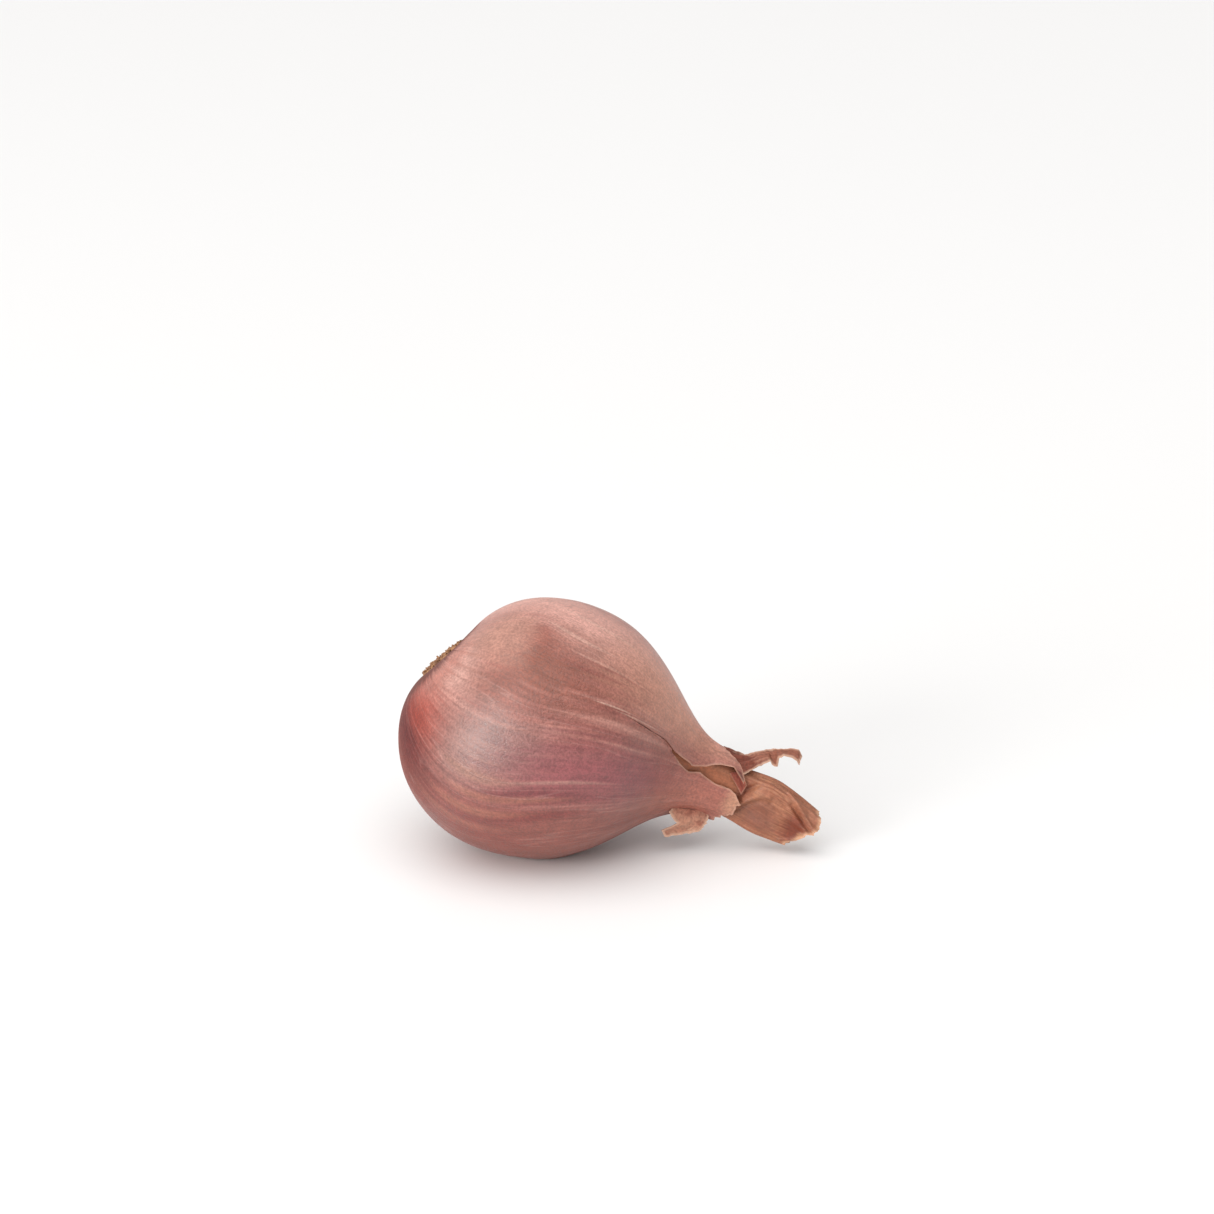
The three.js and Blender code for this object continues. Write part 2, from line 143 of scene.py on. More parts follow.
@dataclass(frozen=True)
class Folds:
    """Irregular lengthwise folds round the loft, laid over each other in layers."""

    height: float
    seed: int
    waves: tuple[int, ...]  # how many waves each layer has round the loft
    drift: float  # radians that a layer turns from one place to the next, at most
    grows: Pair = (-1.0, 0.0)  # places between which they rise to their full height

    def at(self, place: Array, angle: Array) -> Array:
        """Gives their height.

        Args:
            place: Place of each point.
            angle: Angle of each point.

        Returns:
            The height at each point.
        """
        random = np.random.default_rng(self.seed)
        total = np.zeros(np.broadcast(place, angle).shape)
        for count in self.waves:
            phase = random.uniform(0, 2 * math.pi)
            turning = random.uniform(-self.drift, self.drift)
            # each layer grows stronger and weaker along the loft
            swell = 0.6 + 0.4 * np.sin(random.uniform(0, 6) + place * random.uniform(0.6, 1.6))
            total += swell * np.sin(np.radians(angle) * count + phase + turning * place)
        return self.height * (total / math.sqrt(len(self.waves))) * ramp(place, *self.grows)


@dataclass(frozen=True)
class Swell:
    """A smooth rise to both sides of a line, which grows from one place to another."""

    height: float
    half_width: float  # degrees
    grows: Pair

    def at(self, place: Array, off: Array) -> Array:
        """Gives its height at places, and at angles off its line."""
        return self.height * hill(off, self.half_width) * ramp(place, *self.grows)


# ---- the loft


@dataclass(frozen=True)
class Loft:
    """The form that every skin follows: ellipses hung between two outlines.

    The outlines are uniform cubic B-splines through control points x, z.
    """

    upper: Table = (
        (-17.5, 29.6), (-14.5, 33.0), (-12.0, 36.5), (-8.4, 39.0), (-4.3, 40.7), (-0.5, 41.2),
        (2.4, 41.0), (6.7, 40.3), (14.6, 36.7), (20.8, 28.0), (25.2, 17.2), (36.3, 12.9), (45.0, 5.6),
    )
    lower: Table = (
        (-17.5, 29.6), (-21.3, 27.1), (-23.5, 23.4), (-24.1, 19.3), (-23.7, 14.2), (-21.2, 8.5),
        (-15.5, 2.6), (-6.4, -0.5), (2.7, -0.6), (11.6, 2.9), (21.1, 7.7), (31.5, 3.3), (41.8, 0.1),
    )
    bends_from: float = 9.0  # the neck bends to the front from this place
    bend: float = 3.3  # at its end
    root_turn: float = 20.0  # degrees that the root end is turned back about the upright
    root_turns: Pair = (0.8, 5.0)  # places between which the turn fades
    flattens: Pair = (8.2, 11.0)  # places between which the neck flattens
    neck_flatness: float = 0.54
    gathers: int = 9  # large lengthwise folds round the neck
    gather_depth: float = 0.16
    gathers_grow: Pair = (9.2, 10.4)
    fold_line: Table = ((10.4, 98), (10.75, 91), (10.87, 60), (11.0, 46), (11.3, 38), (12.0, 34))
    fold: Swell = Swell(0.55, 20.0, (10.55, 11.0))  # between the neck's top and its front
    drawn_to: Pair = (8.2, 57.0)  # place and angle that the fibres draw towards
    drawn_by: float = 42.0  # degrees
    drawn_evenly: float = 0.6  # share that is drawn alike from near and far round the loft
    drawn_within: float = 2.5  # places
    rest_x: float = -0.5  # middle of the flat that it rests on
    rest_flat: Pair = (4.6, 8.4)  # how far it is flat, and where that ends
    normal_steps: Pair = (0.05, 3.0)  # of place and angle, over which a normal is measured

    @property
    def last_place(self) -> int:
        """Gives the place of the neck's end."""
        return len(self.upper) - 1

    def _outline(self, table: Table, place: Array) -> list[Array]:
        """Reads an outline.

        Args:
            table: Its control points.
            place: Where to read it.

        Returns:
            Its x and its z at each place.
        """
        values = np.array(table, float)
        control = np.concatenate([[2 * values[0] - values[1]], values, [2 * values[-1] - values[-2]]])
        first = np.clip(np.floor(place), 0, self.last_place - 1).astype(int)
        t = place - first
        weights = ((1 - t) ** 3, 3 * t**3 - 6 * t**2 + 4, -3 * t**3 + 3 * t**2 + 3 * t + 1, t**3)
        columns = [[control[first + k, column] for k in range(4)] for column in (0, 1)]
        return [sum(weight * value for weight, value in zip(weights, column)) / 6 for column in columns]

    def smooth(self, place: Array, angle: Array) -> Array:
        """Gives points of the smooth loft.

        Args:
            place: Place of each point.
            angle: Angle of each point.

        Returns:
            The points, in millimetres.
        """
        place, angle = same_shape(place, angle)
        beyond = np.maximum(place - self.bends_from, 0) / (self.last_place - self.bends_from)
        x_up, z_up = self._outline(self.upper, place)
        x_low, z_low = self._outline(self.lower, place)
        half_x, half_z = (x_up - x_low) / 2, (z_up - z_low) / 2
        flatness = 1 - (1 - self.neck_flatness) * ramp(place, *self.flattens)
        turn = np.radians(angle)
        x = (x_up + x_low) / 2 + half_x * np.cos(turn)
        y = -self.bend * beyond**2 - np.hypot(half_x, half_z) * flatness * np.sin(turn)
        z = (z_up + z_low) / 2 + half_z * np.cos(turn)
        back = np.radians(self.root_turn) * (1 - ramp(place, *self.root_turns))
        return np.stack([x * np.cos(back) + y * np.sin(back), y * np.cos(back) - x * np.sin(back), z], -1)

    def normal(self, place: Array, angle: Array) -> Array:
        """Gives the smooth loft's outward normals.

        Args:
            place: Place of each point.
            angle: Angle of each point.

        Returns:
            The normals.
        """
        step, turn = self.normal_steps
        lengthwise = self.smooth(place + step, angle) - self.smooth(place - step, angle)
        crosswise = self.smooth(place, angle + turn) - self.smooth(place, angle - turn)
        return unit(np.cross(crosswise, lengthwise))

    def relief(self, place: Array, angle: Array) -> Array:
        """Gives the height of the neck's gathers and fold over the smooth loft.

        Args:
            place: Place of each point.
            angle: Angle of each point.

        Returns:
            The height at each point.
        """
        gathers = self.gather_depth * np.cos(np.radians(self.gathers * angle))
        fold = self.fold.at(place, turn_between(lines_through(place, self.fold_line), angle))
        return gathers * ramp(place, *self.gathers_grow) + fold

    def surface(self, place: Array, angle: Array, out: Array | float) -> Array:
        """Gives points of the gathered surface, moved out by a distance."""
        height = (self.relief(place, angle) + out)[..., None]
        return self.smooth(place, angle) + self.normal(place, angle) * height

    def fibre_way(self, place: Array, angle: Array) -> Array:
        """Gives the skin's own coordinates, along which its veins run.

        Args:
            place: Place of each point.
            angle: Angle of each point.

        Returns:
            Cosine and sine of the fibre's angle, and the place. The fibres draw together towards
            the split and spread again on the neck.
        """
        place, angle = same_shape(place, angle)
        off = np.radians(angle - self.drawn_to[1])
        share = self.drawn_evenly + (1 - self.drawn_evenly) * np.cos(off)
        near = hill(place - self.drawn_to[0], self.drawn_within)
        turn = np.radians(angle + self.drawn_by * np.sin(off) * share * near)
        return np.stack([np.cos(turn), np.sin(turn), place], -1)

    def rested(self, points: Array, lowest: float) -> Array:
        """Flattens points round the spot that the shallot rests on.

        Args:
            points: The points, in millimetres.
            lowest: Height of the flat.

        Returns:
            The points, none of them below the flat.
        """
        away = np.linalg.norm(points - np.array([self.rest_x, 0, lowest]), axis=-1)
        height = np.maximum(points[..., 2] - lowest, 0) * ramp(away, *self.rest_flat)
        return np.concatenate([points[..., :2], (lowest + height)[..., None]], -1)

    def root_axes(self) -> list[Array]:
        """Gives the root end's directions: up along its face, to the front, and into the bulb."""
        up, front = (unit(self.smooth(1.0, turn) - self.smooth(1.0, turn - 180)) for turn in (0, 90))
        return [up, front, np.cross(up, front)]


@dataclass(frozen=True)
class Crease:
    """A fold along a line of places and angles, near the neck."""

    line: Table
    height: float  # over the surface, or below it where negative
    half_width: float  # millimetres
    scale: Pair = (10.0, 0.075)  # millimetres for each place and each degree

    def at(self, place: Array, angle: Array) -> Array:
        """Gives its height.

        Args:
            place: Place of each point.
            angle: Angle of each point.

        Returns:
            The height at each point.
        """
        here = np.stack([place, angle], -1) * self.scale
        line = np.array(self.line, float) * self.scale
        nearest = np.full(here.shape[:-1], FAR)
        for start, end in zip(line, line[1:]):
            along = end - start
            share = np.clip(((here - start) @ along) / (along @ along), 0, 1)
            away = np.linalg.norm(here - start - share[..., None] * along, axis=-1)
            nearest = np.minimum(nearest, away)
        return self.height * hill(nearest, self.half_width)


LOFT = Loft()
GAP = 0.4  # clearance between the bulb's surface and the outer skin
SKIN_SOLID = 0.6  # thickness of the solids that stand for the skins
INSET = GAP + SKIN_SOLID


# ---- meshes


@dataclass
class Net:
    """A grid of points with values at each, whose rows run along the piece and columns across it."""

    points: Array
    way: Array
    inner: float = 0.0


def linked(name: str, data: bpy.types.ID) -> bpy.types.Object:
    """Makes an object and links it to the scene.

    Args:
        name: Its name.
        data: Its mesh, lamp or camera.

    Returns:
        The object.
    """
    thing = bpy.data.objects.new(name, data)
    bpy.context.scene.collection.objects.link(thing)
    return thing


@dataclass
class MeshMaker:
    """Collects points, faces and values, and makes one mesh object of them."""

    name: str
    points: list[Array] = field(default_factory=list)
    ways: list[Array] = field(default_factory=list)
    inners: list[Array] = field(default_factory=list)
    faces: list[list[int]] = field(default_factory=list)
    rims: list[Array] = field(default_factory=list)
    count: int = 0

    def add(self, net: Net) -> Array:
        """Adds a net's points.

        Args:
            net: The net.

        Returns:
            The index of each of its points, in rows and columns.
        """
        shape = net.points.shape[:2]
        amount = shape[0] * shape[1]
        self.points.append(net.points.reshape(-1, 3))
        self.ways.append(net.way.reshape(-1, 3))
        self.inners.append(np.full(amount, net.inner))
        index = np.arange(self.count, self.count + amount).reshape(shape)
        self.count += amount
        return index

    def quads(self, index: Array, flip: bool = False, closed: bool = False) -> None:
        """Spans a grid of points with quads.

        Args:
            index: The points' indices, in rows and columns.
            flip: Whether the faces look the other way.
            closed: Whether the last column is joined to the first.
        """
        if closed:
            index = np.concatenate([index, index[:, :1]], 1)
        corners = [index[:-1, :-1], index[1:, :-1], index[1:, 1:], index[:-1, 1:]]
        if flip:
            corners.reverse()
        self.faces += np.stack([c.ravel() for c in corners], -1).tolist()

    def strip(self, first: Array, second: Array) -> None:
        """Joins two lines of points with quads."""
        self.quads(np.stack([first, second]))

    def cap(self, ring: Array, pole: Array, way: Triple = (1.0, 0.0, 0.0), inner: float = 0.0) -> None:
        """Closes a ring of points with triangles round a pole.

        Args:
            ring: The ring's indices.
            pole: The point that they meet in.
            way: Its place in the skin's own coordinates.
            inner: How much of the finish's inside colour it has.
        """
        middle = self.add(Net(np.reshape(pole, (1, 1, 3)), np.array(way), inner)).item()
        self.faces += [[middle, int(a), int(b)] for a, b in zip(ring, np.roll(ring, -1))]

    def rim(self, *lines: Array) -> None:
        """Notes lines of points that lie on a torn edge."""
        self.rims += [line.reshape(-1, 3) for line in lines]

    def _edge_distance(self, points: Array) -> Array:
        """Measures how far points are from the nearest torn edge.

        Args:
            points: The points.

        Returns:
            The distance of each, in millimetres.
        """
        if not self.rims:
            return np.full(len(points), FAR)
        rim = np.concatenate(self.rims)
        tree = KDTree(len(rim))
        for number, point in enumerate(rim):
            tree.insert(point, number)
        tree.balance()
        return np.array([tree.find(point)[2] for point in points])

    def make(self) -> bpy.types.Object:
        """Makes the object.

        Returns:
            The object, in metres.
        """
        points = np.concatenate(self.points)
        used = np.unique([i for face in self.faces for i in face])
        new_index = np.full(len(points), -1)
        new_index[used] = np.arange(len(used))
        mesh = bpy.data.meshes.new(self.name)
        faces = [[int(new_index[i]) for i in face] for face in self.faces]
        mesh.from_pydata((points[used] * MM).tolist(), [], faces)
        values = {"edge": self._edge_distance(points[used]), "inner": np.concatenate(self.inners)[used]}
        for name, numbers in values.items():
            attribute = mesh.attributes.new(name, "FLOAT", "POINT")
            attribute.data.foreach_set("value", numbers.astype(np.float32))
        way = mesh.attributes.new("way", "FLOAT_VECTOR", "POINT")
        way.data.foreach_set("vector", np.concatenate(self.ways)[used].astype(np.float32).ravel())
        mesh.shade_smooth()
        mesh.set_sharp_from_angle(angle=math.radians(SHARP))
        mesh.validate()
        return linked(self.name, mesh)


def sheet(maker: MeshMaker, face: Net, back: Net, closed_rows: int = 0, pale_from: int = 0) -> None:
    """Adds a thin sheet: two nets and the rim between them.

    Args:
        maker: Where it goes.
        face: Its outer side.
        back: Its inner side.
        closed_rows: Up to this row the first and the last column are one, as on a tube.
        pale_from: From this row on the side edges have a dry margin.
    """
    outer, inner = maker.add(face), maker.add(back)
    if closed_rows:
        for index in (outer, inner):
            index[: closed_rows + 1, -1] = index[: closed_rows + 1, 0]
    maker.quads(outer)
    maker.quads(inner, flip=True)
    maker.strip(inner[0], outer[0])
    maker.strip(outer[-1], inner[-1])
    maker.strip(outer[closed_rows:, 0], inner[closed_rows:, 0])
    maker.strip(inner[closed_rows:, -1], outer[closed_rows:, -1])
    maker.rim(face.points[-1], face.points[pale_from:, 0], face.points[pale_from:, -1])


# ---- shader graphs


class Graph:
    """A shader node tree with short calls for the nodes that the finishes use."""

    def __init__(self, tree: bpy.types.NodeTree) -> None:
        """Wraps a node tree."""
        self.tree = tree

    def feed(self, socket: Socket, value: object) -> None:
        """Links a socket to an output, or sets its value.

        Args:
            socket: The socket.
            value: The output or the value.
        """
        if isinstance(value, bpy.types.NodeSocket):
            self.tree.links.new(value, socket)
        else:
            socket.default_value = value

    def node(
        self, kind: str, inputs: dict[str | int, object], output: str | int = 0, **settings: object
    ) -> Socket:
        """Adds a node.

        Args:
            kind: Its type.
            inputs: What feeds its inputs, by name or number.
            output: Name or number of the output to give.
            settings: Its properties.

        Returns:
            The output.
        """
        made = self.tree.nodes.new(kind)
        for name, value in settings.items():
            setattr(made, name, value)
        for key, value in inputs.items():
            self.feed(made.inputs[key], value)
        return made.outputs[output]

    def math(self, operation: str, *values: object) -> Socket:
        """Adds a Math node and gives its output."""
        return self.node("ShaderNodeMath", dict(enumerate(values)), operation=operation)

    def vector(self, operation: str, *values: object) -> Socket:
        """Adds a Vector Math node and gives its vector, or its length."""
        output = "Value" if operation == "LENGTH" else "Vector"
        return self.node("ShaderNodeVectorMath", dict(enumerate(values)), output, operation=operation)

    def noise(self, where: object, scale: object, detail: object = 2.0, roughness: float = 0.5) -> Socket:
        """Adds a Noise Texture and gives its value."""
        inputs = {"Vector": where, "Scale": scale, "Detail": detail, "Roughness": roughness}
        return self.node("ShaderNodeTexNoise", inputs, "Fac")

    def spread(
        self, value: object, low: object, high: object, start: float = 0.0, end: float = 1.0
    ) -> Socket:
        """Maps a value from low..high to start..end, smoothly and clamped."""
        inputs = dict(enumerate((value, low, high, start, end)))
        return self.node("ShaderNodeMapRange", inputs, interpolation_type="SMOOTHSTEP")

    def mix(self, factor: object, first: object, second: object) -> Socket:
        """Mixes two colours, which are inputs 6 and 7 of a Mix node that gives output 2."""
        return self.node("ShaderNodeMix", {0: factor, 6: first, 7: second}, 2, data_type="RGBA")

    def scaled(self, color: object, factor: object) -> Socket:
        """Multiplies a colour by a number."""
        inputs = {"Vector": color, "Scale": factor}
        return self.node("ShaderNodeVectorMath", inputs, "Vector", operation="SCALE")

    def attribute(self, name: str, output: str = "Fac") -> Socket:
        """Reads a value that the mesh carries."""
        return self.node("ShaderNodeAttribute", {}, output, attribute_name=name, attribute_type="GEOMETRY")

    def bump(self, height: Socket, depth_mm: float) -> Socket:
        """Adds a Bump node and gives its normal."""
        return self.node("ShaderNodeBump", {"Height": height, "Distance": depth_mm * MM})

    def group(self, effect: Effect, **values: object) -> Socket:
        """Places a shared effect with its values and gives its output."""
        return self.node("ShaderNodeGroup", values, node_tree=effect.tree())


def stretched(graph: Graph, given: Given) -> Socket:
    """Gives the skin's own coordinates, stretched by a pattern's fineness."""
    fineness = {0: given["Around"], 1: given["Around"], 2: given["Along"]}
    return graph.vector("MULTIPLY", given["Way"], graph.node("ShaderNodeCombineXYZ", fineness))


def streaks(graph: Graph, given: Given) -> Socket:
    """Gives noise that is fine round the skin and long along it."""
    return graph.noise(stretched(graph, given), 1.0, given["Detail"], roughness=0.6)


def veins(graph: Graph, given: Given) -> Socket:
    """Draws thin lines along the fibres, which come and go.

    Args:
        graph: The group's graph.
        given: The group's inputs.

    Returns:
        A mask that is 1 on each line.
    """
    way = stretched(graph, given)
    value, middle = graph.noise(way, 1.0, detail=1.0, roughness=0.45), 0.5
    off_line = graph.math("ABSOLUTE", graph.math("SUBTRACT", value, middle))
    lines = graph.spread(off_line, 0.0, given["Width"], 1.0, 0.0)
    shown = graph.spread(graph.noise(way, 0.35), 0.42, 0.6)
    return graph.math("MULTIPLY", lines, shown)


def patch(graph: Graph, given: Given) -> Socket:
    """Draws a soft patch round a point of the skin.

    Args:
        graph: The group's graph.
        given: The group's inputs.

    Returns:
        A mask that falls from 1 at the centre to 0 past the patch's reach, with a wavering rim.
    """
    offset = graph.vector("DIVIDE", graph.vector("SUBTRACT", given["Way"], given["Centre"]), given["Reach"])
    distance = graph.math("ADD", graph.vector("LENGTH", offset), given["Waver"])
    start, end = (graph.math(how, 1.0, given["Softness"]) for how in ("SUBTRACT", "ADD"))
    return graph.spread(distance, start, end, 1.0, 0.0)


def grain(graph: Graph, given: Given) -> Socket:
    """Gives the fine mottle of a dry skin, the same in every direction."""
    return graph.noise(given["Where"], given["Fineness"], detail=3.0, roughness=0.6)


def torn_margin(graph: Graph, given: Given) -> Socket:
    """Gives a mask that is 1 at a torn edge and 0 past the margin's width."""
    reach = graph.math("MULTIPLY", given["Width"], graph.math("ADD", given["Waver"], 0.5))
    return graph.spread(given["Distance"], 0.0, reach, 1.0, 0.0)


class Effect(Enum):
    """The shared effects, each a node group built once."""

    STREAKS = "lengthwise_streaks"
    VEINS = "fine_veins"
    PATCH = "soft_patch"
    GRAIN = "papery_grain"
    TORN = "torn_edge"

    def tree(self) -> bpy.types.NodeTree:
        """Gives the effect's node group, and builds it at its first use."""
        return bpy.data.node_groups.get(self.value) or new_group(self.value, *EFFECTS[self])


Draw = Callable[[Graph, Given], Socket]
EFFECTS: dict[Effect, tuple[Draw, str, tuple[str, ...]]] = {
    Effect.STREAKS: (streaks, "Value", ("Way", "Around", "Along", "Detail")),
    Effect.VEINS: (veins, "Mask", ("Way", "Around", "Along", "Width")),
    Effect.PATCH: (patch, "Mask", ("Way", "Centre", "Reach", "Waver", "Softness")),
    Effect.GRAIN: (grain, "Value", ("Where", "Fineness")),
    Effect.TORN: (torn_margin, "Mask", ("Distance", "Width", "Waver")),
}
VECTOR_INPUTS = ("Way", "Where", "Centre", "Reach")


def new_group(name: str, draw: Draw, output: str, inputs: tuple[str, ...]) -> bpy.types.NodeTree:
    """Builds a node group with one output.

    Args:
        name: Its name.
        draw: What builds its inside.
        output: Name of its output.
        inputs: Names of its inputs.

    Returns:
        The group.
    """
    tree = bpy.data.node_groups.new(name, "ShaderNodeTree")
    for label in inputs:
        kind = "NodeSocketVector" if label in VECTOR_INPUTS else "NodeSocketFloat"
        tree.interface.new_socket(label, in_out="INPUT", socket_type=kind)
    tree.interface.new_socket(output, in_out="OUTPUT", socket_type="NodeSocketFloat")
    start = tree.nodes.new("NodeGroupInput")
    graph = Graph(tree)
    result = draw(graph, {label: start.outputs[label] for label in inputs})
    graph.feed(tree.nodes.new("NodeGroupOutput").inputs[0], result)
    return tree


def new_material(name: str) -> tuple[bpy.types.Material, Graph, bpy.types.Node]:
    """Starts a material.

    Args:
        name: Its name.

    Returns:
        The material, its graph and its shader.
    """
    material = bpy.data.materials.new(name)
    material.use_nodes = True
    return material, Graph(material.node_tree), material.node_tree.nodes["Principled BSDF"]


# ---- finishes


@dataclass(frozen=True)
class Patch:
    """A soft zone of another colour on a skin, in the skin's own coordinates."""

    color: int
    centre: Triple
    reach: Triple
    strength: float
    softness: float = 0.8

    def mask(self, graph: Graph, way: Socket, waver: Socket | float) -> Socket:
        """Gives the zone's mask.

        Args:
            graph: The material's graph.
            way: The skin's own coordinates.
            waver: How far the zone's rim wavers.

        Returns:
            The mask, as strong as the zone.
        """
        mask = graph.group(
            Effect.PATCH, Way=way, Centre=self.centre, Reach=self.reach, Waver=waver, Softness=self.softness
        )
        return graph.math("MULTIPLY", mask, self.strength)


def zone(
    color: int,
    place: float,
    angle: float,
    length: float,
    width: float,
    strength: float,
    softness: float = 0.8,
) -> Patch:
    """Makes a patch at a place and an angle of the loft.

    Args:
        color: Its colour.
        place: Place of its middle.
        angle: Angle of its middle.
        length: How many places it reaches both ways along the fibres.
        width: How many degrees it reaches both ways across them.
        strength: How much of its colour it lays on.
        softness: How softly it fades, 0 to 1.

    Returns:
        The patch.
    """
    centre = tuple(float(c) for c in LOFT.fibre_way(place, angle))
    return Patch(color, centre, (math.radians(width), math.radians(width), length), strength, softness)


def root_zone(color: int, length: float, strength: float, softness: float = 0.8) -> Patch:
    """Makes a patch all round the root plate.

    Args:
        color: Its colour.
        length: How many places it reaches.
        strength: How much of its colour it lays on.
        softness: How softly it fades, 0 to 1.

    Returns:
        The patch.
    """
    hole, all_round = 1.25, 3.0
    return Patch(color, (0.0, 0.0, hole), (all_round, all_round, length), strength, softness)


@dataclass(frozen=True)
class DrySkin:
    """A dry papery skin: streaks, veins, patches and grain along its fibres."""

    name: str
    slot: str
    pale: int
    middle: int
    deep: int
    vein: int
    margin: int
    inside: int
    patches: tuple[Patch, ...] = ()
    dull: tuple[Patch, ...] = ()  # zones without gloss; their colours aren't used
    streaks: Pattern = (7.0, 0.35, 3.0)
    bands: Pattern = (24.0, 0.5, 3.0)
    fibres: Pattern = (70.0, 2.2, 2.0)
    streak_steps: Triple = (0.28, 0.5, 0.74)  # values of the streaks that are deep, middle and pale
    waver: float = 1.3  # how far the patches' rims waver
    veins_around: float = 9.0
    vein_width: float = 0.03
    vein_strength: float = 0.16
    band_contrast: float = 0.07
    fibre_contrast: float = 0.03
    grain: float = 2500.0  # fineness
    grain_contrast: float = 0.2
    cloud: float = 420.0  # fineness
    cloud_contrast: float = 0.09
    noise_range: Pair = (0.3, 0.7)  # between which noise swings from one extreme to the other
    margin_width: float = 0.5
    margin_strength: float = 0.8
    roughness: Pair = (0.32, 0.52)  # at the least and at the most of the grain
    bump_mm: float = 0.085
    bump_shares: tuple[tuple[str, float], ...] = (  # how much each layer adds to the relief
        ("fibres", 0.45), ("grain", 1.1), ("veins", 0.3), ("bands", 0.5),
    )
    gloss: float = 0.65  # the shader's specular level

    def material(self) -> bpy.types.Material:
        """Builds the skin's material.

        Returns:
            The material.
        """
        material, graph, shader = new_material(self.name)
        way = graph.attribute("way", "Vector")
        made = self._layers(graph, way)
        graph.feed(shader.inputs["Base Color"], self._color(graph, way, made))
        rough = graph.spread(made["grain"], *self.noise_range, *self.roughness)
        for each in self.dull:
            rough = graph.math("MAXIMUM", rough, each.mask(graph, way, 0.0))
        graph.feed(shader.inputs["Roughness"], rough)
        shader.inputs["Specular IOR Level"].default_value = self.gloss
        height: Socket | float = 0.0
        for label, share in self.bump_shares:
            height = graph.math("ADD", height, graph.math("MULTIPLY", made[label], share))
        graph.feed(shader.inputs["Normal"], graph.bump(height, self.bump_mm))
        return material

    def _layers(self, graph: Graph, way: Socket) -> dict[str, Socket]:
        """Makes the skin's layers of noise and its veins.

        Args:
            graph: The material's graph.
            way: The skin's own coordinates.

        Returns:
            The layers by name.
        """
        where = graph.node("ShaderNodeTexCoord", {}, "Object")
        patterns = {"streaks": self.streaks, "bands": self.bands, "fibres": self.fibres}
        made = {
            label: graph.group(Effect.STREAKS, Way=way, Around=around, Along=along, Detail=detail)
            for label, (around, along, detail) in patterns.items()
        }
        made["veins"] = graph.group(
            Effect.VEINS, Way=way, Around=self.veins_around, Along=self.streaks[1], Width=self.vein_width
        )
        made["grain"] = graph.group(Effect.GRAIN, Where=where, Fineness=self.grain)
        made["cloud"] = graph.group(Effect.GRAIN, Where=where, Fineness=self.cloud)
        return made

    def _color(self, graph: Graph, way: Socket, made: dict[str, Socket]) -> Socket:
        """Mixes the skin's colour.

        Args:
            graph: The material's graph.
            way: The skin's own coordinates.
            made: The layers of noise and the mask of the veins.

        Returns:
            The colour.
        """
        deep, middle, pale = self.streak_steps
        color = graph.mix(graph.spread(made["streaks"], deep, middle), srgb(self.deep), srgb(self.middle))
        color = graph.mix(graph.spread(made["streaks"], middle, pale), color, srgb(self.pale))
        waver = graph.math("MULTIPLY", graph.math("SUBTRACT", made["bands"], 0.5), self.waver)
        for each in self.patches:
            color = graph.mix(each.mask(graph, way, waver), color, srgb(each.color))
        color = graph.mix(graph.math("MULTIPLY", made["veins"], self.vein_strength), color, srgb(self.vein))
        color = graph.mix(graph.attribute("inner"), color, srgb(self.inside))
        for label, contrast in (
            ("bands", self.band_contrast),
            ("fibres", self.fibre_contrast),
            ("cloud", self.cloud_contrast),
            ("grain", self.grain_contrast),
        ):
            swing = graph.spread(made[label], *self.noise_range, 1 - contrast, 1 + contrast)
            color = graph.scaled(color, swing)
        distance = graph.attribute("edge")
        margin = graph.group(Effect.TORN, Distance=distance, Width=self.margin_width, Waver=made["fibres"])
        return graph.mix(graph.math("MULTIPLY", margin, self.margin_strength), color, srgb(self.margin))


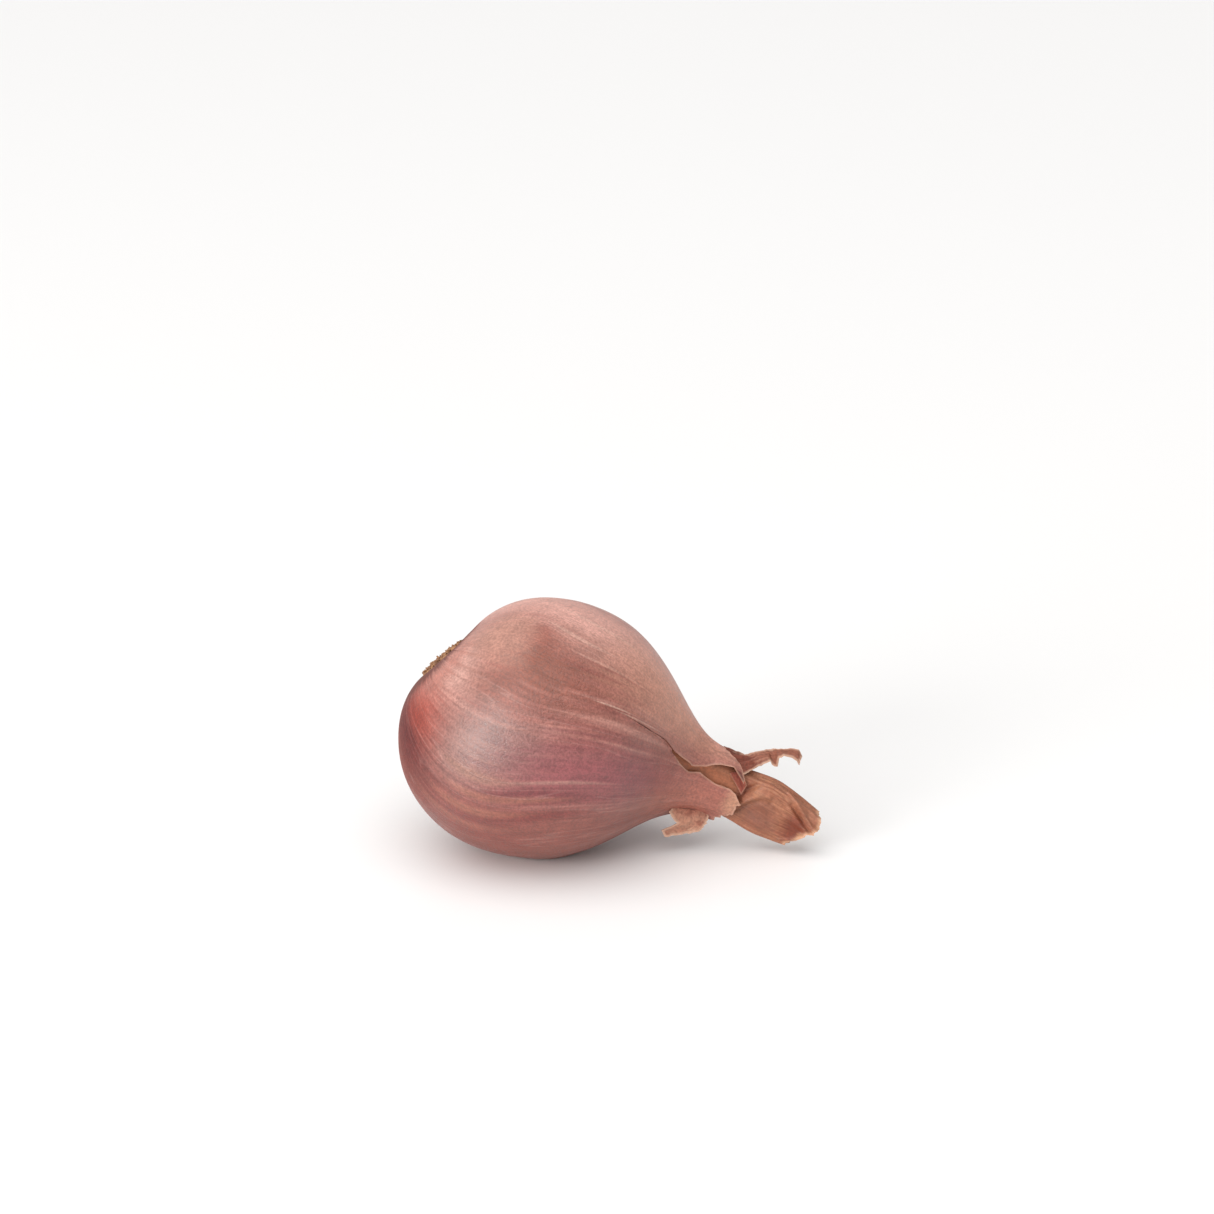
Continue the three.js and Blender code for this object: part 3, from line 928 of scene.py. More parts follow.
OUTER_SKIN_FINISH = DrySkin(
    name="outer_skin_finish",
    slot="outer_skin",
    pale=0xAA766A,
    middle=0x90584E,
    deep=0x7C403A,
    vein=0xC0948A,
    margin=0xC4967E,
    inside=0x9A6350,
    margin_width=0.4,
    margin_strength=0.6,
    patches=(
        # paler over the top: the skin's pale pink with painted light and sheen from above
        zone(0xDCA698, 6.0, -2, 4.5, 24, 0.8),
        # pale cream patch near the root end: painted highlight from the soft light at the upper left
        zone(0xBA9084, 2.95, 55, 1.0, 40, 0.8),
        zone(0x7A3E2A, 5.5, 43, 1.8, 20, 0.95, 0.9),
        zone(0x7C4434, 4.6, 63, 0.8, 12, 0.6, 0.8),
        zone(0x96503E, 5.6, 27, 1.3, 8, 0.4, 0.9),
        # paler band on the upper left shoulder: painted highlight
        zone(0xB08070, 3.95, 27, 1.0, 20, 0.75, 0.7),
        zone(0xA06E60, 6.7, 25, 0.9, 9, 0.6, 0.8),
        # paler grey patch under the key light's highlight: partly the skin's colour, partly painted
        # highlight
        zone(0x86665E, 5.0, 91, 1.3, 23, 0.75),
        zone(0x7C5E58, 6.2, 82, 0.9, 14, 0.6),
        zone(0x8A2E1C, 2.8, 110, 1.0, 25, 0.9),
        zone(0xA8685A, 2.45, 66, 0.45, 28, 0.7, 0.8),
        # dark ring round the root plate: darker skin by the root, and painted shadow of the gap between
        # skin and plate
        root_zone(0x5C281C, 0.85, 0.85, 0.3),
        # deep red low on the root end: the skin's red, darkened further by painted shade underneath
        zone(0x500A0A, 3.35, 137, 1.5, 20, 0.95),
        zone(0x88464A, 7.9, 84, 1.9, 23, 0.85),
        # darker along the underside: the skin's colour with painted shade
        zone(0x76362C, 6.0, 140, 3.0, 18, 0.85),
        zone(0x7C3C34, 6.2, 114, 1.5, 9, 0.6),
        zone(0x905246, 8.0, 128, 1.4, 20, 0.6),
        zone(0xA07460, 5.4, 102, 0.9, 3.0, 0.4, 0.6),
        zone(0x6A282C, 6.7, 100, 1.0, 4.5, 0.75, 0.6),
        zone(0x702A26, 6.9, 110, 0.8, 3.0, 0.55, 0.6),
        zone(0xA46A54, 6.2, 106, 1.1, 2.2, 0.45, 0.6),
        zone(0xA06650, 5.8, 119, 1.0, 2.6, 0.4, 0.6),
        zone(0x6A2826, 5.8, 125, 0.9, 2.2, 0.45, 0.6),
        zone(0x985E4C, 5.6, 132, 1.0, 2.4, 0.35, 0.6),
        zone(0xA88072, 7.3, 90, 0.9, 1.4, 0.4, 0.5),
        zone(0xD0A494, 6.5, 22, 1.2, 1.3, 0.45, 0.5),
        zone(0xD8AC9C, 7.2, 11, 1.4, 1.2, 0.45, 0.5),
        zone(0xCCA090, 7.6, 34, 1.1, 1.0, 0.35, 0.5),
        zone(0xD0AC9C, 7.8, 51.8, 0.35, 0.7, 0.5, 0.5),
        zone(0xD0AC9C, 8.35, 53.2, 0.4, 0.8, 0.45, 0.5),
        zone(0xC48A74, 9.1, 28, 1.3, 34, 0.85),
        zone(0xAA6654, 10.1, 105, 0.8, 46, 0.8),
        zone(0xBC8C6E, 10.64, 94, 0.14, 34, 0.65, 0.7),
        # dark red at the upper flap's corner: painted shadow
        zone(0x5A2018, 10.58, 48, 0.16, 10, 0.9, 0.6),
    ),
    dull=(zone(0x000000, 3.3, 138, 1.9, 50, 0.9), root_zone(0x000000, 1.1, 0.98)),
)

BULB_FINISH = DrySkin(
    name="bulb_finish",
    slot="bulb_skin",
    pale=0xAA7656,
    middle=0x9A6248,
    deep=0x8A503A,
    vein=0xC09676,
    margin=0xCFA080,
    inside=0x9C5C48,
    streaks=(9.0, 0.9, 3.0),
    bands=(26.0, 1.4, 3.0),
    fibres=(50.0, 4.0, 2.0),
    band_contrast=0.04,
    fibre_contrast=0.035,
    grain_contrast=0.14,
    roughness=(0.45, 0.65),
    gloss=0.5,
    margin_width=0.8,
    bump_mm=0.035,
    patches=(
        zone(0xBE7452, 9.9, 66, 0.75, 24, 0.9),
        # dark along the valley at the neck's base: painted shade in the valley
        zone(0x7A3A2C, 10.74, 70, 0.1, 24, 0.8, 0.6),
        # lighter along the neck's crest: painted highlight where the crest faces the light
        zone(0xA47250, 10.84, 78, 0.1, 34, 0.4, 0.7),
        zone(0x7E4A38, 11.05, 102, 0.28, 36, 0.85, 0.6),
        zone(0x70301E, 11.61, 95, 0.2, 42, 0.9, 0.65),
        zone(0xC08E66, 11.75, 114, 0.06, 14, 0.7, 0.6),
        zone(0x94604A, 11.76, 46, 0.16, 30, 0.6, 0.7),
    ),
)

INNER_SKIN_FINISH = DrySkin(
    name="inner_skin_finish",
    slot="inner_skin",
    pale=0xA86050,
    middle=0x904838,
    deep=0x702E26,
    vein=0xA87460,
    margin=0xB4806A,
    inside=0x743A2E,
    streaks=(3.0, 0.35, 3.0),
    bands=(8.0, 0.5, 3.0),
    fibres=(26.0, 2.2, 2.0),
    margin_width=0.25,
    gloss=0.3,
)

TORN_SKIN_FINISH = DrySkin(
    name="torn_skin_finish",
    slot="torn_skin",
    pale=0xC69C84,
    middle=0xB27E68,
    deep=0x9A6452,
    vein=0xC8A08A,
    margin=0xD8B29A,
    inside=0x96604C,
    streaks=(2.5, 0.8, 3.0),
    bands=(9.0, 1.2, 3.0),
    fibres=(30.0, 4.0, 2.0),
    roughness=(0.5, 0.7),
    gloss=0.3,
    margin_width=0.55,
    patches=(
        Patch(0x6E3828, (0.6, 12.3, 2.9), (2.4, 3.0, 2.2), 0.9, 0.5),
        # very dark red at the torn leaf's root: reddish skin with painted shade where it goes in under the
        # flap
        Patch(0x641A12, (0.6, 12.3, 0.0), (2.0, 3.0, 0.95), 0.95, 0.3),
        # darker red at the shred's top: painted shadow where it goes under the flap
        Patch(0x9A5A4A, (0.6, 17.1, 0.0), (2.0, 3.0, 0.4), 0.5, 0.6),
    ),
)


@dataclass(frozen=True)
class Cork:
    """The rough dry cork of the root plate."""

    name: str = "cork_finish"
    slot: str = "cork"
    pale: int = 0xA87A54
    deep: int = 0x5E3A28
    lumps: Triple = (900.0, 4.0, 0.65)  # fineness, detail and roughness of the noise
    crumbs: Triple = (4200.0, 3.0, 0.6)
    lump_share: float = 0.65
    color_range: Pair = (0.35, 0.65)
    rough_range: Pair = (0.3, 0.7)
    roughness: Pair = (0.95, 0.75)
    bump_mm: float = 0.25

    def material(self) -> bpy.types.Material:
        """Builds the cork's material.

        Returns:
            The material.
        """
        material, graph, shader = new_material(self.name)
        where = graph.node("ShaderNodeTexCoord", {}, "Object")
        lumps = graph.math("MULTIPLY", graph.noise(where, *self.lumps), self.lump_share)
        crumbs = graph.math("MULTIPLY", graph.noise(where, *self.crumbs), 1 - self.lump_share)
        both = graph.math("ADD", lumps, crumbs)
        color = graph.mix(graph.spread(both, *self.color_range), srgb(self.deep), srgb(self.pale))
        graph.feed(shader.inputs["Base Color"], color)
        rough = graph.spread(both, *self.rough_range, *self.roughness)
        graph.feed(shader.inputs["Roughness"], rough)
        graph.feed(shader.inputs["Normal"], graph.bump(both, self.bump_mm))
        return material


CORK_FINISH = Cork()


def dress(thing: bpy.types.Object, finish: DrySkin | Cork, node: str) -> bpy.types.Object:
    """Gives a piece its finish and its place in the frame.

    Args:
        thing: The piece.
        finish: Its finish.
        node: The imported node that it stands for.

    Returns:
        The piece.
    """
    thing.data.materials.append(bpy.data.materials.get(finish.name) or finish.material())
    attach(thing, "root")
    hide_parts(node)
    return thing


# ---- outer skin


@dataclass
class OuterSkin:
    """The outermost dry leaf: a papery shell, split near the neck and torn off round it."""

    thickness: float = 0.2
    root_hole: float = 1.15  # place of its edge round the root plate
    root_rag: float = 0.1  # how many places the skin's edge round the roots wavers
    root_rag_to: float = 1.9  # place at which that has faded
    root_folds: Folds = Folds(0.5, 21, (5, 9, 14, 23), 0)
    split_start: float = 7.5
    torn_from: float = 9.9  # place from which its rows run towards the torn end
    torn_place: float = 10.6  # at which its torn end is shared out over the columns
    upper_edge: Table = (
        (0, 46), (7.5, 51), (8.2, 54), (9.0, 56), (9.3, 62), (9.7, 66), (9.95, 60), (10.2, 46), (10.4, 42),
        (10.55, 52), (10.7, 63),
    )
    lower_edge: Table = (
        (0, 46), (7.5, 51), (8.2, 54.15), (8.6, 55.5), (9.0, 56.6), (9.3, 63.2), (9.75, 74), (9.95, 69),
        (10.25, 76), (10.5, 76), (10.6, 80), (10.72, 93),
    )
    frays: Pair = (8.2, 9.4)  # places between which the split's edges become torn
    upper_teeth: Teeth = Teeth(11, 0.16, 0.7)
    lower_teeth: Teeth = Teeth(23, 0.16, 0.7)
    hairline: float = 0.1  # degrees between the split's edges where it is closed
    hairline_to: float = 8.0  # place at which the hairline has its full width
    end: Table = (
        (-267, 10.71), (-248, 10.68), (-231, 10.6), (-208, 10.52), (-193, 10.5), (-180, 10.36),
        (-155, 10.56), (-130, 10.38), (-105, 10.52), (-75, 10.33), (-40, 10.38), (-10, 10.2), (11, 10.21),
        (25, 10.34), (40, 10.54), (50, 10.63), (63, 10.69),
    )
    end_teeth: Teeth = Teeth(5, 9.0, 0.03)
    flare: float = 0.55  # how far its torn end stands off the neck
    flares: Pair = (9.8, 10.7)  # places between which it comes to do so
    hugs_at: float = 128.0  # angle about which it lies closer to the neck
    hugs_within: float = 55.0
    hug: float = 0.65  # share of the flare that it loses there
    upper_flap: Swell = Swell(0.95, 26.0, (8.9, 9.9))
    lower_flap: Swell = Swell(0.2, 20.0, (9.2, 10.0))
    lip: Swell = Swell(0.22, 3.0, (7.7, 8.4))
    flap_from: float = -1.0  # degrees from its edge at which a flap starts
    raised_veins: Folds = Folds(0.02, 3, (13, 19, 24, 31), 0.35, (1.2, 3.0))
    neck_folds: Folds = Folds(0.07, 8, (17, 22, 29, 37), 0.9, (8.4, 10.2))
    columns: int = 240
    crowding: float = 0.72  # how much closer the columns lie beside the split
    whole_rows: int = 84
    split_rows: int = 44
    hairline_rows: int = 34  # rows along which the split is only a hairline
    torn_rows: int = 34

    def edge_angles(self, place: Array) -> tuple[Array, Array]:
        """Gives the angles of the split's edges.

        Args:
            place: Place of each point.

        Returns:
            The angle of its upper and of its lower edge.
        """
        fray = ramp(place, *self.frays)
        upper = lines_through(place, self.upper_edge) + fray * self.upper_teeth.at(place)
        lower = lines_through(place, self.lower_edge) + fray * self.lower_teeth.at(place)
        closed = upper + self.hairline * ramp(place, self.split_start, self.hairline_to)
        return upper, np.maximum(lower, closed)

    def height(self, place: Array, angle: Array) -> Array:
        """Gives how far the skin stands off the loft: it gapes at its end and along the split.

        Args:
            place: Place of each point.
            angle: Angle of each point.

        Returns:
            The height at each point, with the skin's veins and fine folds.
        """
        upper, lower = self.edge_angles(place)
        in_upper, in_lower = turn_between(angle, upper), turn_between(lower, angle)
        upper_flap = self.upper_flap.at(place, in_upper) + self.lip.at(place, in_upper)
        lower_flap = self.lower_flap.at(place, in_lower)
        hugging = 1 - self.hug * hill(turn_between(self.hugs_at, angle), self.hugs_within)
        gape = self.flare * hugging * ramp(place, *self.flares)
        lift = gape + np.where(in_upper > self.flap_from, upper_flap, 0)
        lift = lift + np.where(in_lower > self.flap_from, lower_flap, 0)
        return lift + self.raised_veins.at(place, angle) + self.neck_folds.at(place, angle)

    def _places(self, angle_at_end: Array) -> Array:
        """Gives the place of each row and column.

        Args:
            angle_at_end: The angle of each column near the torn end.

        Returns:
            The places, in rows and columns.
        """
        end = lines_through(angle_at_end, self.end) + self.end_teeth.at(angle_at_end)
        whole = np.linspace(self.root_hole, self.split_start, self.whole_rows + 1)
        split = np.linspace(self.split_start, self.torn_from, self.split_rows + 1)[1:]
        level = np.repeat(np.concatenate([whole, split])[:, None], len(end), 1)
        ragged = np.maximum(0.5 + self.root_folds.at(level, angle_at_end[None, :]), 0)
        level = level + self.root_rag * ragged * (1 - ramp(level, self.root_hole, self.root_rag_to))
        share = np.linspace(0, 1, self.torn_rows + 1)[1:, None]
        return np.concatenate([level, self.torn_from + share * (end[None, :] - self.torn_from)])

    def build(self) -> bpy.types.Object:
        """Builds the skin's mesh and dresses it.

        Returns:
            The piece.
        """
        u = np.linspace(0, 1, self.columns + 1)
        turned = u - self.crowding * np.sin(2 * math.pi * u) / (2 * math.pi)
        upper_end, lower_end = self.edge_angles(np.array(self.torn_place))
        place = self._places(upper_end - turned * (360 - (lower_end - upper_end)))
        upper, lower = self.edge_angles(place)
        angle = upper - turned[None, :] * (360 - (lower - upper))
        height = self.height(place, angle)
        way = LOFT.fibre_way(place, angle)
        nets = [
            Net(LOFT.rested(LOFT.surface(place, angle, height - depth), depth), way, inner)
            for depth, inner in ((0.0, 0.0), (self.thickness, 1.0))
        ]
        maker = MeshMaker("outer_skin_paper")
        sheet(maker, *nets, self.whole_rows, self.whole_rows + self.hairline_rows)
        return dress(maker.make(), OUTER_SKIN_FINISH, "outer_skin")


# ---- bulb and neck


NECK_CREASES = (
    Crease(((10.6, 118), (10.72, 104), (10.79, 84), (10.87, 72), (10.96, 64), (11.06, 60)), 0.5, 0.45),
    Crease(((10.72, 118), (10.82, 96), (10.9, 83), (10.99, 74), (11.1, 70)), -0.28, 0.4),
    Crease(((10.92, 106), (11.16, 98)), -0.5, 1.7),
    Crease(((11.07, 66), (11.21, 72), (11.36, 78)), -0.2, 0.25),
    Crease(((10.66, 88), (10.72, 68), (10.79, 57), (10.84, 48)), -0.45, 0.35),
    Crease(((10.82, 30), (10.99, 27), (11.22, 31), (11.4, 36)), -0.2, 0.22),
    Crease(((10.88, 44), (11.03, 38), (11.24, 43), (11.38, 51)), -0.22, 0.22),
    Crease(((11.06, 46), (11.2, 52), (11.34, 59)), -0.16, 0.2),
    Crease(((10.9, 12), (11.1, 8), (11.35, 16), (11.6, 22)), -0.2, 0.25),
    Crease(((11.28, 29), (11.35, 32), (11.47, 42), (11.65, 54), (11.8, 66), (11.92, 70)), 0.45, 0.32),
    Crease(((11.4, 46), (11.46, 53), (11.6, 64), (11.72, 75), (11.82, 84)), -0.6, 0.35),
    Crease(((11.5, 94), (11.66, 100)), -0.8, 1.6),
    Crease(((11.66, 40), (11.8, 44), (11.9, 50)), -0.25, 0.4),
    Crease(((11.48, 140), (11.6, 128), (11.72, 112), (11.82, 98)), 0.3, 0.35),
)


@dataclass
class Bulb:
    """The firm bulb in its innermost dry skin, which runs out into the flattened dry neck."""

    first_place: float = 0.6  # of its first row
    neck_from: float = 9.8  # place from which its rows lie closer
    wall: float = 0.3  # thickness round the mouth
    mouth_floor: float = 11.05  # place that the mouth reaches back to
    floor_sunk: float = 0.05  # places that its middle lies deeper
    rises: Pair = (10.5, 11.2)  # places between which it comes up to the loft
    clears: Pair = (10.5, 11.5)  # places up to which it keeps clear of the skin underneath
    shown: Swell = Swell(0.5, 34, (7.6, 8.8))  # how much it rises where the split shows it
    shown_at: float = 62.0
    end: Table = (
        (-180, 11.6), (-140, 11.75), (-90, 11.92), (-30, 11.86), (0, 11.8), (20, 11.82), (40, 11.89),
        (60, 11.92), (74, 11.9), (86, 11.86), (106, 11.76), (121, 11.7), (150, 11.62), (180, 11.6),
    )
    end_teeth: Teeth = Teeth(31, 11.0, 0.02)
    end_teeth_shift: float = 400.0  # degrees
    coarse: Folds = Folds(0.12, 15, (7, 11, 14, 19), 1.2, (10.4, 11.3))
    fine: Folds = Folds(0.02, 16, (18, 23, 29, 35), 2.2, (9.6, 11.0))
    calm: float = 0.92  # share of the wrinkles that the neck's front panel is spared
    calm_at: Pair = (11.1, 118.0)
    calm_within: Pair = (0.9, 90.0)
    wad: float = 0.8  # how far the crumpled inner layers stand out from the mouth's back wall
    wad_folds: Folds = Folds(0.3, 77, (5, 8), 2)
    wad_faces: float = 95.0  # angle of the wall that the wad stays off
    wad_rises: Pair = (0.05, 0.7)  # shares of the way into the mouth between which it rises
    wad_turns: Pair = (50.0, 110.0)  # degrees from that wall between which it rises
    columns: int = 320
    bulb_rows: int = 70
    neck_rows: int = 130
    mouth_rows: int = 20

    def depth(self, place: Array, angle: Array) -> Array:
        """Gives the depth of the bulb's surface below the loft."""
        shown = self.shown.at(place, turn_between(self.shown_at, angle))
        return (INSET - shown) * (1 - ramp(place, *self.rises))

    def height(self, place: Array, angle: Array) -> Array:
        """Gives the surface's height over the loft, with the neck's wrinkles and folds.

        Args:
            place: Place of each point.
            angle: Angle of each point.

        Returns:
            The height at each point, negative where it is below.
        """
        (near, towards), (places, turn) = self.calm_at, self.calm_within
        calm = 1 - self.calm * hill(place - near, places) * hill(turn_between(towards, angle), turn)
        wrinkles = (self.coarse.at(place, angle) + self.fine.at(place, angle)) * calm
        return wrinkles + sum(crease.at(place, angle) for crease in NECK_CREASES) - self.depth(place, angle)

    def _outside(self, angle: Array, end: Array) -> Net:
        """Builds the outer surface, in finer rows along the neck.

        Args:
            angle: The angle of each column.
            end: The place of each column's end.

        Returns:
            Its points.
        """
        bulb = np.linspace(self.first_place, self.neck_from, self.bulb_rows + 1)[:-1, None]
        share = np.linspace(0, 1, self.neck_rows)[:, None]
        neck = self.neck_from + share * (end[None, :] - self.neck_from)
        place, angle = same_shape(np.concatenate([np.repeat(bulb, len(end), 1), neck]), angle)
        points = LOFT.surface(place, angle, self.height(place, angle))
        points[..., 2] = np.maximum(points[..., 2], INSET * (1 - ramp(place, *self.clears)))
        return Net(points, LOFT.fibre_way(place, angle))

    def _mouth(self, angle: Array, end: Array) -> Net:
        """Builds the inside of the neck's open mouth.

        Args:
            angle: The angle of each column.
            end: The place of each column's end.

        Returns:
            Its points.
        """
        back = np.linspace(0, 1, self.mouth_rows)[:, None]
        place, angle = same_shape(end[None, :] + back * (self.mouth_floor - end[None, :]), angle)
        behind = ramp(np.abs(turn_between(self.wad_faces, angle)), *self.wad_turns)
        wad = self.wad * behind * ramp(back, *self.wad_rises) * (1 + self.wad_folds.at(place, angle))
        points = LOFT.surface(place, angle, self.height(place, angle) - self.wall - wad)
        return Net(points, LOFT.fibre_way(place, angle), 1.0)

    def build(self) -> bpy.types.Object:
        """Builds the bulb's mesh, with the neck's open mouth, and dresses it.

        Returns:
            The piece.
        """
        angle = np.linspace(180, -180, self.columns + 1)[:-1]
        end = lines_through(angle, self.end) + self.end_teeth.at(angle + self.end_teeth_shift)
        maker = MeshMaker("bulb_and_neck")
        outside = self._outside(angle, end)
        outer, inner = maker.add(outside), maker.add(self._mouth(angle, end))
        maker.rim(outside.points[-1])
        maker.quads(np.concatenate([outer, inner]), closed=True)
        maker.cap(outer[0], LOFT.smooth(0.0, 0.0) + INSET * LOFT.root_axes()[2])
        floor = self.mouth_floor - self.floor_sunk
        middle = (LOFT.smooth(floor, 0) + LOFT.smooth(floor, 180)) / 2
        maker.cap(inner[-1][::-1], middle, (1.0, 0.0, self.mouth_floor), 1.0)
        return dress(maker.make(), BULB_FINISH, "bulb")


# ---- torn pieces


@dataclass
class Leaf:
    """A thin piece of skin between two edges."""

    name: str
    node: str
    finish: DrySkin
    table: Table
    bow: float
    way: Triple  # the skin's own coordinates: reach across, place beside other pieces, reach along
    thickness: float = 0.18
    rows: int = 90
    columns: int = 24
    shade: float = 1.0  # how much of its finish's inside colour its back has
    step: float = 0.012  # share of the piece over which a normal is measured

    def edges(self, along: Array) -> tuple[Array, Array, Array]:
        """Gives points of the two edges, and how far they are apart."""
        raise NotImplementedError

    def relief(self, along: Array, across: Array) -> Array:
        """Gives how far folds lift the piece, which lies smooth unless its own class folds it."""
        return np.zeros_like(across + along)

    def middle(self, along: Array, across: Array) -> Array:
        """Gives points of the piece's middle surface.

        Args:
            along: Share of the way along it.
            across: Share of the way across it.

        Returns:
            The points, in millimetres.
        """
        left, right, span = self.edges(along)
        points = left + (right - left) * across[..., None]
        points[..., 2] += self.bow * np.sin(math.pi * across) * span + self.relief(along, across)
        return points

    def build(self) -> bpy.types.Object:
        """Builds the piece's mesh and dresses it.

        Returns:
            The piece.
        """
        rows, columns = np.linspace(0, 1, self.rows + 1), np.linspace(0, 1, self.columns + 1)
        along, across = np.meshgrid(rows, columns, indexing="ij")
        lengthwise = self.middle(along + self.step, across) - self.middle(along - self.step, across)
        crosswise = self.middle(along, across + self.step) - self.middle(along, across - self.step)
        half = unit(np.cross(lengthwise, crosswise)) * self.thickness / 2
        middle = self.middle(along, across)
        wide, beside, long = self.way
        way = np.stack([across * wide, np.full_like(across, beside), along * long], -1)
        maker = MeshMaker(self.name)
        sheet(maker, Net(middle + half, way), Net(middle - half, way, self.shade))
        return dress(maker.make(), self.finish, self.node)


@dataclass
class TornSheet(Leaf):
    """A torn piece of skin, with frayed edges.

    A row of the table holds where it is along the piece, then x, y, z of one edge and of the other.
    """

    seed: int = 1
    shade: float = 0.35
    fray: float = 0.12  # height of the edges' largest teeth
    fray_step: float = 0.06  # distance between those teeth, over the piece's length
    ripples: Table = ((0.05, 19, 3), (0.04, 31, -5))  # height, and waves across and along
    pleats: Triple = (0.0, 19, 5)  # the same, at the piece's root
    pleats_fade: Pair = (0.16, 0.36)  # shares of the length between which they fade

    def edges(self, along: Array) -> tuple[Array, Array, Array]:
        """Gives the two frayed edges.

        Args:
            along: Share of the way along the piece.

        Returns:
            Points of one and of the other edge, and how far they would be apart without their teeth.
        """
        left = np.stack([lines_through(along, self.table, c) for c in (1, 2, 3)], -1)
        right = np.stack([lines_through(along, self.table, c) for c in (4, 5, 6)], -1)
        side = unit(right - left)
        span = np.linalg.norm(right - left, axis=-1)
        near, far = (Teeth(seed, self.fray_step, self.fray) for seed in (self.seed, self.seed + 7))
        return left - side * near.at(along)[..., None], right + side * far.at(along)[..., None], span

    def relief(self, along: Array, across: Array) -> Array:
        """Gives the height of the ripples, and of the pleats at the root.

        Args:
            along: Share of the way along the piece.
            across: Share of the way across it.

        Returns:
            The height at each point.
        """
        first, second, pleats = (
            height * np.sin(across * wide + along * long)
            for height, wide, long in (*self.ripples, self.pleats)
        )
        return first + second + pleats * (1 - ramp(along, *self.pleats_fade))


@dataclass
class InnerTip(Leaf):
    """The loose tip of an inner skin, folded out under the upper flap.

    A row of the table holds where it is along the tip, then place and angle of one edge and of the other.
    """

    def edges(self, along: Array) -> tuple[Array, Array, Array]:
        """Gives the two edges.

        Args:
            along: Share of the way along the tip.

        Returns:
            Points of one and of the other edge, and how far they are apart.
        """
        left, right = (
            LOFT.surface(lines_through(along, self.table, c), lines_through(along, self.table, c + 1), 0.0)
            for c in (1, 3)
        )
        return left, right, np.linalg.norm(right - left, axis=-1)


INNER_TIP = InnerTip(
    name="inner_tip_paper",
    node="inner_tip",
    finish=INNER_SKIN_FINISH,
    table=(
        (0.0, 10.4, 50, 10.52, 41),
        (0.35, 10.5, 60, 10.64, 49),
        (0.7, 10.6, 70, 10.7, 58),
        (1.0, 10.68, 78, 10.69, 70),
    ),
    bow=0.05,
    way=(1.0, 2.0, 2.0),
    thickness=0.2,
    rows=40,
    columns=16,
)

TORN_LEAF = TornSheet(
    name="torn_leaf_paper",
    node="torn_leaf",
    finish=TORN_SKIN_FINISH,
    bow=0.12,
    way=(1.2, 12.3, 3.0),
    rows=130,
    seed=41,
    pleats=(0.25, 19, 5),
    table=(
        (0.0, 28.2, 0.7, 16.6, 30.3, -3.2, 13.2),
        (0.08, 29.4, 0.7, 16.1, 31.6, -3.0, 13.6),
        (0.16, 30.6, 0.6, 15.6, 32.6, -2.6, 14.0),
        (0.24, 31.5, 0.4, 15.3, 33.5, -1.9, 14.3),
        (0.34, 32.5, 0.3, 15.8, 34.4, -1.7, 14.7),
        (0.46, 34.0, 0.2, 16.3, 35.6, -1.5, 15.2),
        (0.54, 34.9, 0.1, 16.5, 35.7, -1.3, 15.1),
        (0.58, 35.4, 0.1, 16.5, 36.0, -1.2, 14.2),
        (0.64, 35.9, 0.1, 16.55, 36.8, -1.2, 13.9),
        (0.68, 36.3, 0.1, 16.6, 37.0, -1.4, 15.5),
        (0.77, 37.2, 0.0, 16.7, 37.8, -1.4, 16.0),
        (0.87, 38.8, -0.1, 16.7, 38.9, -1.5, 15.7),
        (0.94, 40.2, -0.3, 16.5, 39.8, -1.8, 15.3),
        (1.0, 40.7, -0.8, 15.7, 40.2, -2.0, 14.7),
    ),
)

HANGING_SHRED = TornSheet(
    name="hanging_shred_paper",
    node="hanging_shred",
    finish=TORN_SKIN_FINISH,
    bow=0.0,
    way=(1.2, 17.1, 3.0),
    seed=57,
    rows=70,
    columns=60,
    table=(
        (0.0, 19.9, -4.0, 8.3, 25.8, -2.2, 6.7),
        (0.14, 19.4, -4.6, 7.6, 25.8, -2.7, 6.1),
        (0.3, 19.9, -4.5, 6.6, 25.5, -3.0, 5.3),
        (0.52, 20.7, -4.3, 5.6, 25.1, -3.1, 4.7),
        (0.75, 18.3, -4.2, 4.3, 24.8, -3.1, 4.2),
        (1.0, 18.6, -4.2, 3.2, 24.2, -3.1, 3.7),
    ),
)


# ---- root plate


